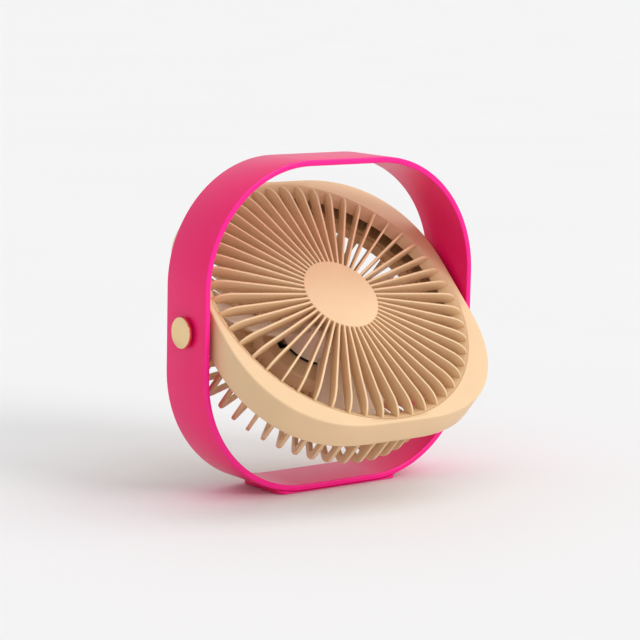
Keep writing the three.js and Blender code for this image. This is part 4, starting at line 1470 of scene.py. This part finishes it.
@dataclass
class Impeller:
    """The spinning hub and its four blades."""

    place: HeadFrame
    material: bpy.types.Material
    blades: int = 4
    hub: float = 0.021
    hub_wall: float = 0.0016
    tip: float = 0.0798
    thickness: float = 0.0017
    camber: float = 0.16
    root_overlap: float = 0.0008
    rear_angle: float = 164.0
    rear_sweep: float = 16.0
    rear_height: float = -0.0142
    rear_drop: float = 0.0022
    front_angle: float = 213.0
    front_sweep: float = 36.0
    front_height: float = 0.005
    front_rise: float = 0.0035
    hub_back: float = -0.0168
    hub_edge: float = 0.003
    hub_skin: float = 0.0018
    socket: tuple[float, float] = (0.0017, 0.0032)
    socket_top: float = 0.0043

    def _blade_point(self, outward: float, across: float) -> Vector:
        """One point of a blade's middle surface.

        Args:
            outward: 0 at the root, 1 at the tip.
            across: 0 at the back edge, 1 at the front edge.

        Returns:
            The point in the head's own frame.
        """
        root = self.hub - self.root_overlap
        radius = root + (self.tip - root) * outward
        back_angle = self.rear_angle - self.rear_sweep * math.sqrt(outward)
        front_angle = self.front_angle - self.front_sweep * outward
        back = self.rear_height - self.rear_drop * outward
        front = self.front_height + self.front_rise * outward
        rise = across + self.camber * math.sin(math.pi * across)
        x, y = on_circle(radius, back_angle + (front_angle - back_angle) * across)
        return Vector((x, y, back + (front - back) * rise))

    def _blade(self) -> bpy.types.Object:
        """Builds one blade: a grid bent to shape, thickened and rounded at its edges.

        Returns:
            The blade.
        """
        outward_steps, across_steps = 18, 14
        bpy.ops.object.select_all(action="DESELECT")
        bpy.ops.mesh.primitive_grid_add(
            x_subdivisions=outward_steps, y_subdivisions=across_steps, size=2.0
        )
        blade = named("blade")
        with editing(blade) as mesh:
            for vertex in mesh().verts:
                outward, across = (vertex.co.x + 1) / 2, (vertex.co.y + 1) / 2
                vertex.co = self._blade_point(max(0.0, outward), across)
            bmesh.update_edit_mesh(blade.data)
            bpy.ops.mesh.normals_make_consistent(inside=False)
        take(blade)
        thick = blade.modifiers.new("thickness", "SOLIDIFY")
        thick.thickness = self.thickness
        thick.offset = 0.0
        bpy.ops.object.modifier_apply(modifier=thick.name)
        soften(blade, 0.0006, segments=3, angle=60.0)
        return blade

    def build(self) -> bpy.types.Object:
        """Builds the whole impeller.

        Returns:
            The impeller.
        """
        _, high = self.place.span("impeller")
        back, front, hub, edge = self.hub_back, high.z, self.hub, self.hub_edge
        inside, ceiling = hub - self.hub_wall, high.z - self.hub_skin
        bore, boss = self.socket
        cup = turned("impeller_moulding", [
            (0.0, front),
            (hub - edge - 0.0005, front),
            *arc((hub - edge, front - edge), edge, 80.0, 0.0, 6),
            (hub, back + 0.0003),
            (hub - 0.0003, back),
            (inside, back),
            (inside, ceiling),
            (boss, ceiling),
            (boss, 0.0),
            (bore, 0.0),
            (bore, self.socket_top),
            (0.0, self.socket_top),
        ])
        blade = self._blade()
        repeat_round(blade, self.blades)
        drill(blade, Matrix(), inside, back - CLEAR, ceiling, sides=96)
        impeller = together("impeller_moulding", blade, cup)
        moved(impeller, self.place.matrix)
        return settle(impeller, "rotor", self.material, Slot.CREAM, "impeller")


@dataclass
class Fittings:
    """The brass knobs, the screws that show, the button and the motor's lead."""

    place: HeadFrame
    cream: bpy.types.Material
    brass: bpy.types.Material
    steel: bpy.types.Material
    wire: bpy.types.Material
    knob_radius: float = 0.00925
    knob_thickness: float = 0.0024
    neck: float = 0.0056
    journal: float = 0.004
    stud: float = 0.003
    knob_dish: float = 0.00012
    screw_head: float = 0.0026
    screw_core: float = 0.0012
    screw_length: float = 0.007
    recess_half: tuple[float, float] = (0.0014, 0.00035)
    recess_depth: float = 0.0006
    recess_turn: float = 20.0
    button_radius: float = 0.0055
    button_flange: float = 0.0067
    flange_depth: float = 0.003
    lead_radius: float = 0.0007
    lead_turn: float = 0.0204
    lead_level: float = -0.018

    def knob(self, side: int, word: str) -> bpy.types.Object:
        """Builds one knob: a turned disc on a neck, with its journal and stud.

        Args:
            side: 1 for the right knob, -1 for the left one.
            word: The side's name.

        Returns:
            The knob.
        """
        low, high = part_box(f"pivot_knob_{word}")
        outer, inner = max(abs(low.x), abs(high.x)), min(abs(low.x), abs(high.x))
        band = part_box("hoop_frame")[1].x
        back = outer - self.knob_thickness
        rim = self.knob_radius
        step = self.place.span("rear_housing")[1].x
        profile = [
            (0.0, outer - self.knob_dish),
            (rim - 0.0014, outer - self.knob_dish),
            (rim - 0.0011, outer),
            *arc((rim - 0.0005, outer - 0.0005), 0.0005, 90.0, 0.0, 4),
            *arc((rim - 0.0004, back + 0.0004), 0.0004, 0.0, -90.0, 3),
            (self.neck + 0.0004, back),
            (self.neck, back - 0.0004),
            (self.neck, band + 0.0003),
            (self.journal, band + 0.0003),
            (self.journal, step + 0.0005),
            (self.stud, step + 0.0005),
            (self.stud, inner + 0.0004),
            (self.stud - 0.0004, inner),
            (0.0, inner),
        ]
        knob = turned(f"knob_{word}", profile)
        moved(knob, Matrix.Translation(self.place.origin) @ along_tilt_axis(side))
        return settle(knob, "head", self.brass, Slot.BRASS, f"pivot_knob_{word}")

    def _screw(self) -> bpy.types.Object:
        """Builds one screw, head down at the origin: a domed head with a cross recess.

        Returns:
            The screw.
        """
        head, core = self.screw_head, self.screw_core
        screw = turned("screw", [
            (0.0, 0.0),
            (head * 0.6, 0.00008),
            (head - 0.0002, 0.0003),
            (head, 0.0005),
            (head, 0.001),
            (core, 0.001),
            (core, self.screw_length - core),
            (0.0, self.screw_length),
        ], steps=40)
        long, short = self.recess_half
        for turn in (self.recess_turn, self.recess_turn + 90.0):
            arm = block("arm", (-long, -short, -CLEAR), (long, short, self.recess_depth))
            combine(screw, moved(arm, Matrix.Rotation(math.radians(turn), 4, "Z")), "DIFFERENCE")
        return screw

    def screws(self) -> list[bpy.types.Object]:
        """Builds the screws that show from behind: four in the housing and three in the cap.

        Returns:
            The screws.
        """
        names = [f"housing_screw_{number}" for number in range(1, 5)]
        names += [f"cap_screw_{number}" for number in range(1, 4)]
        pattern = self._screw()
        made = []
        for name in names:
            low, high = self.place.span(name)
            centre = (low + high) / 2
            spot = Vector((centre.x, centre.y, low.z))
            screw = copied(pattern, name.replace("screw", "cross_screw"))
            moved(screw, self.place.matrix @ Matrix.Translation(spot))
            made.append(settle(screw, "head", self.steel, Slot.STEEL, name))
        bpy.data.objects.remove(pattern)
        return made

    def button(self) -> bpy.types.Object:
        """Builds the power button: a dished cap with a flange that keeps it in.

        Returns:
            The button.
        """
        low, high = self.place.span("power_button")
        back, front, centre = low.z, high.z, (low + high) / 2
        radius, flange, flange_back = self.button_radius, self.button_flange, low.z + self.flange_depth
        button = turned("button_cap", [
            (0.0, back + 0.00035),
            (0.0020, back + 0.0003),
            (0.0038, back + 0.0001),
            (0.0046, back),
            *arc((radius - 0.0005, back + 0.0005), 0.0005, -90.0, 0.0, 4),
            (radius, flange_back),
            (flange, flange_back),
            (flange, front),
            (0.0, front),
        ], steps=64)
        moved(button, self.place.matrix @ Matrix.Translation((centre.x, centre.y, 0.0)))
        return settle(button, "button", self.cream, Slot.CREAM, "power_button")

    def lead(self) -> bpy.types.Object:
        """Builds the motor's black lead: part way round the motor, then down to the board.

        Returns:
            The lead.
        """
        board_back = self.place.span("control_board")[0].z
        around = range(300, 203, -12)
        points = [(*on_circle(self.lead_turn, degrees), self.lead_level) for degrees in around]
        points += [
            (-0.0214, -0.0036, -0.0183),
            (-0.0217, -0.0018, -0.0202),
            (-0.0213, -0.0024, -0.022),
            (-0.0192, -0.007, board_back),
        ]
        curve = bpy.data.curves.new("lead_path", "CURVE")
        curve.dimensions = "3D"
        curve.bevel_depth = self.lead_radius
        curve.bevel_resolution = 5
        curve.resolution_u = 10
        curve.use_fill_caps = True
        line = curve.splines.new("BEZIER")
        line.bezier_points.add(len(points) - 1)
        for spot, point in zip(line.bezier_points, points):
            spot.co = point
            spot.handle_left_type = spot.handle_right_type = "AUTO"
        lead = bpy.data.objects.new("lead_wire", curve)
        bpy.context.scene.collection.objects.link(lead)
        take(lead)
        bpy.ops.object.convert(target="MESH")
        lead = bpy.context.object
        moved(lead, self.place.matrix)
        tidy(lead)
        return settle(lead, "head", self.wire, Slot.WIRE, "motor_lead")


# ------------------------------------------------------------------------------------ studio


def heading(azimuth: float, elevation: float) -> Vector:
    """A direction of length 1.

    Args:
        azimuth: Degrees from straight in front of the fan towards +X.
        elevation: Degrees above level.

    Returns:
        The direction.
    """
    turn, rise = math.radians(azimuth), math.radians(elevation)
    return Vector((math.sin(turn) * math.cos(rise), -math.cos(turn) * math.cos(rise), math.sin(rise)))


@dataclass
class Studio:
    """The pale floor, the soft lights and the camera."""

    azimuth: float = -37.355
    elevation: float = 9.093
    roll: float = 1.247
    distance: float = 1.3999
    lens: float = 130.335
    aim_height: float = 0.1
    aim_shift: tuple[float, float] = (0.001978, -0.000845)
    surround: float = 0.8
    key: tuple[float, float, float, float] = (25.0, 27.0, 28.0, 1.1)
    overhead: tuple[float, float, float, float] = (77.0, 52.0, 40.0, 0.45)
    contrast: float = 0.85
    floor_size: float = 60.0
    sensor: float = 36.0
    far_limit: float = 100.0

    def floor(self) -> bpy.types.Object:
        """Lays a wide pale sheet under the fan.

        Returns:
            The sheet.
        """
        bpy.ops.object.select_all(action="DESELECT")
        bpy.ops.mesh.primitive_plane_add(size=self.floor_size)
        floor = named("floor_sheet")
        graph = Graph("floor_paper")
        clouds = graph.noise(0.4, detail=2.0)
        graph.set(
            Base_Color=graph.mixed(clouds, (0.86, 0.86, 0.865), (0.88, 0.88, 0.885)),
            Roughness=0.7 + 0.1 * clouds,
        )
        dress(floor, graph.material)
        return floor

    def _lamp(self, name: str, azimuth: float, elevation: float, spread: float, power: float) -> None:
        """Adds one far soft light.

        Args:
            name: The light's name.
            azimuth: Where it stands, in degrees as heading() takes them.
            elevation: How high it stands, in degrees.
            spread: How wide it looks, in degrees.
            power: Its strength in watts per square metre.
        """
        data = bpy.data.lights.new(name, "SUN")
        data.angle = math.radians(spread)
        data.energy = power
        lamp = bpy.data.objects.new(name, data)
        way = heading(azimuth, elevation)
        lamp.rotation_mode = "QUATERNION"
        lamp.rotation_quaternion = way.to_track_quat("Z", "Y")
        lamp.location = way
        bpy.context.scene.collection.objects.link(lamp)

    def lights(self) -> None:
        """Sets up a white surround, a key light from the right and a softer one from above."""
        world = bpy.data.worlds.new("surround")
        world.use_nodes = True
        sky = world.node_tree.nodes["Background"]
        sky.inputs["Color"].default_value = (1.0, 1.0, 1.0, 1.0)
        sky.inputs["Strength"].default_value = self.surround
        bpy.context.scene.world = world
        bpy.context.scene.view_settings.view_transform = "Standard"
        bpy.context.scene.view_settings.gamma = self.contrast
        self._lamp("key", *self.key)
        self._lamp("overhead", *self.overhead)

    def camera(self) -> None:
        """Sets up the camera at the fan's own viewing angle."""
        back = heading(self.azimuth, self.elevation)
        right = heading(self.azimuth + 90.0, 0.0)
        above = back.cross(right)
        roll = math.radians(self.roll)
        side = math.cos(roll) * right + math.sin(roll) * above
        top = -math.sin(roll) * right + math.cos(roll) * above
        across, up = self.aim_shift
        spot = Vector((0.0, 0.0, self.aim_height)) + back * self.distance - side * across + top * up
        data = bpy.data.cameras.new("camera")
        data.lens = self.lens
        data.sensor_width = self.sensor
        data.clip_end = self.far_limit
        camera = bpy.data.objects.new("camera", data)
        camera.matrix_world = Matrix((
            (side.x, top.x, back.x, spot.x),
            (side.y, top.y, back.y, spot.y),
            (side.z, top.z, back.z, spot.z),
            (0.0, 0.0, 0.0, 1.0),
        ))
        bpy.context.scene.collection.objects.link(camera)
        bpy.context.scene.camera = camera


# --------------------------------------------------------------------------------- carry-over


@dataclass
class Workings:
    """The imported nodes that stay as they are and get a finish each."""

    place: HeadFrame
    steel: bpy.types.Material

    def dress_all(self) -> None:
        """Gives every node that still shows its own finish."""
        origin, tilt = self.place.origin, self.place.tilt
        nylon = MouldedPlastic("natural_nylon", (0.78, 0.74, 0.66), 0.5, 0.05, 0.0008).material()
        rubber = SoftRubber("washer_rubber", (0.05, 0.045, 0.045)).material()
        black = MouldedPlastic("black_plastic", (0.015, 0.015, 0.016), 0.45, 0.1).material()
        core = Layered(
            "stacked_sheets", (0.35, 0.35, 0.37), (0.08, 0.08, 0.08), 0.0005, origin, tilt
        ).material()
        copper = Layered(
            "wound_copper", (0.62, 0.24, 0.08), (0.2, 0.06, 0.02), 0.0003, origin, tilt
        ).material()
        ferrite = MouldedPlastic("ferrite", (0.05, 0.05, 0.055), 0.6, 0.2, 0.0004).material()
        zinc = PlainMetal("zinc_plate", (0.55, 0.56, 0.58), 0.35).material()
        film = MouldedPlastic("cell_film", (0.06, 0.16, 0.42), 0.25, 0.1, 0.002, 0.00002).material()
        board = PrintedBoard("solder_mask", (0.01, 0.11, 0.04), (0.05, 0.22, 0.08)).material()
        lens = MilkyLens("milky_lens", (0.93, 0.92, 0.88)).material()
        finishes = {
            nylon: ("pivot_bush_left", "pivot_bush_right", "motor_base"),
            rubber: ("friction_washer_left", "friction_washer_right"),
            black: ("push_switch",),
            core: ("stator_core",),
            copper: tuple(f"coil_{number}" for number in range(1, 7)),
            ferrite: ("magnet_ring",),
            zinc: ("rotor_yoke",),
            film: ("battery_cell",),
            board: ("control_board",),
            lens: ("indicator_lens",),
            self.steel: (
                "foot_screw_1", "foot_screw_2", "motor_screw_1", "motor_screw_2", "motor_screw_3",
                "bearing_front", "bearing_rear", "motor_shaft", "shaft_clip", "charge_socket",
            ),
        }
        for material, names in finishes.items():
            for name in names:
                dress(self.place.nodes[name], material)
                LOG.info("%s: dressed in %s", name, material.name)


def main() -> None:
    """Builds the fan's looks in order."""
    logging.basicConfig(level=logging.INFO, format="%(name)s: %(message)s")
    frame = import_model()

    studio = Studio()
    studio.camera()
    studio.lights()
    studio.floor()

    head = HeadFrame.read(frame)
    half_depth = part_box("hoop_frame")[1].y
    # the second colour is a painted glow on the hoop's front and back faces
    pink = PaintedGlowPlastic("hot_pink", (0.88, 0.008, 0.18), (0.95, 0.010, 0.30), half_depth).material()
    cream = MouldedPlastic("warm_cream", (0.79, 0.575, 0.36), 0.42, 0.02).material()
    # painted light: a paler copy of the cream, so the impeller's blades in the shade behind the grille
    # look lit
    pale = MouldedPlastic("pale_cream", (0.88, 0.74, 0.62), 0.4, 0.02).material()
    brass = TurnedMetal("turned_brass", (0.86, 0.66, 0.38), head.origin.z).material()
    steel = PlainMetal("bright_steel", (0.62, 0.62, 0.63), 0.3).material()
    rubber = SoftRubber("pad_rubber", (0.045, 0.04, 0.04)).material()
    wire = MouldedPlastic("black_insulation", (0.012, 0.011, 0.012), 0.4, 0.1).material()

    stand = Stand(pink, head.origin.z)
    stand.hoop()
    stand.foot()
    stand.pad(rubber)

    mouldings = HeadMouldings(head, cream)
    mouldings.rim()
    mouldings.grille()
    mouldings.housing()
    mouldings.cage()
    mouldings.cap()

    Impeller(head, pale).build()

    fittings = Fittings(head, cream, brass, steel, wire)
    fittings.knob(-1, "left")
    fittings.knob(1, "right")
    fittings.screws()
    fittings.button()
    fittings.lead()

    Workings(head, steel).dress_all()

    bpy.context.view_layer.update()


if __name__ == "__main__":
    main()
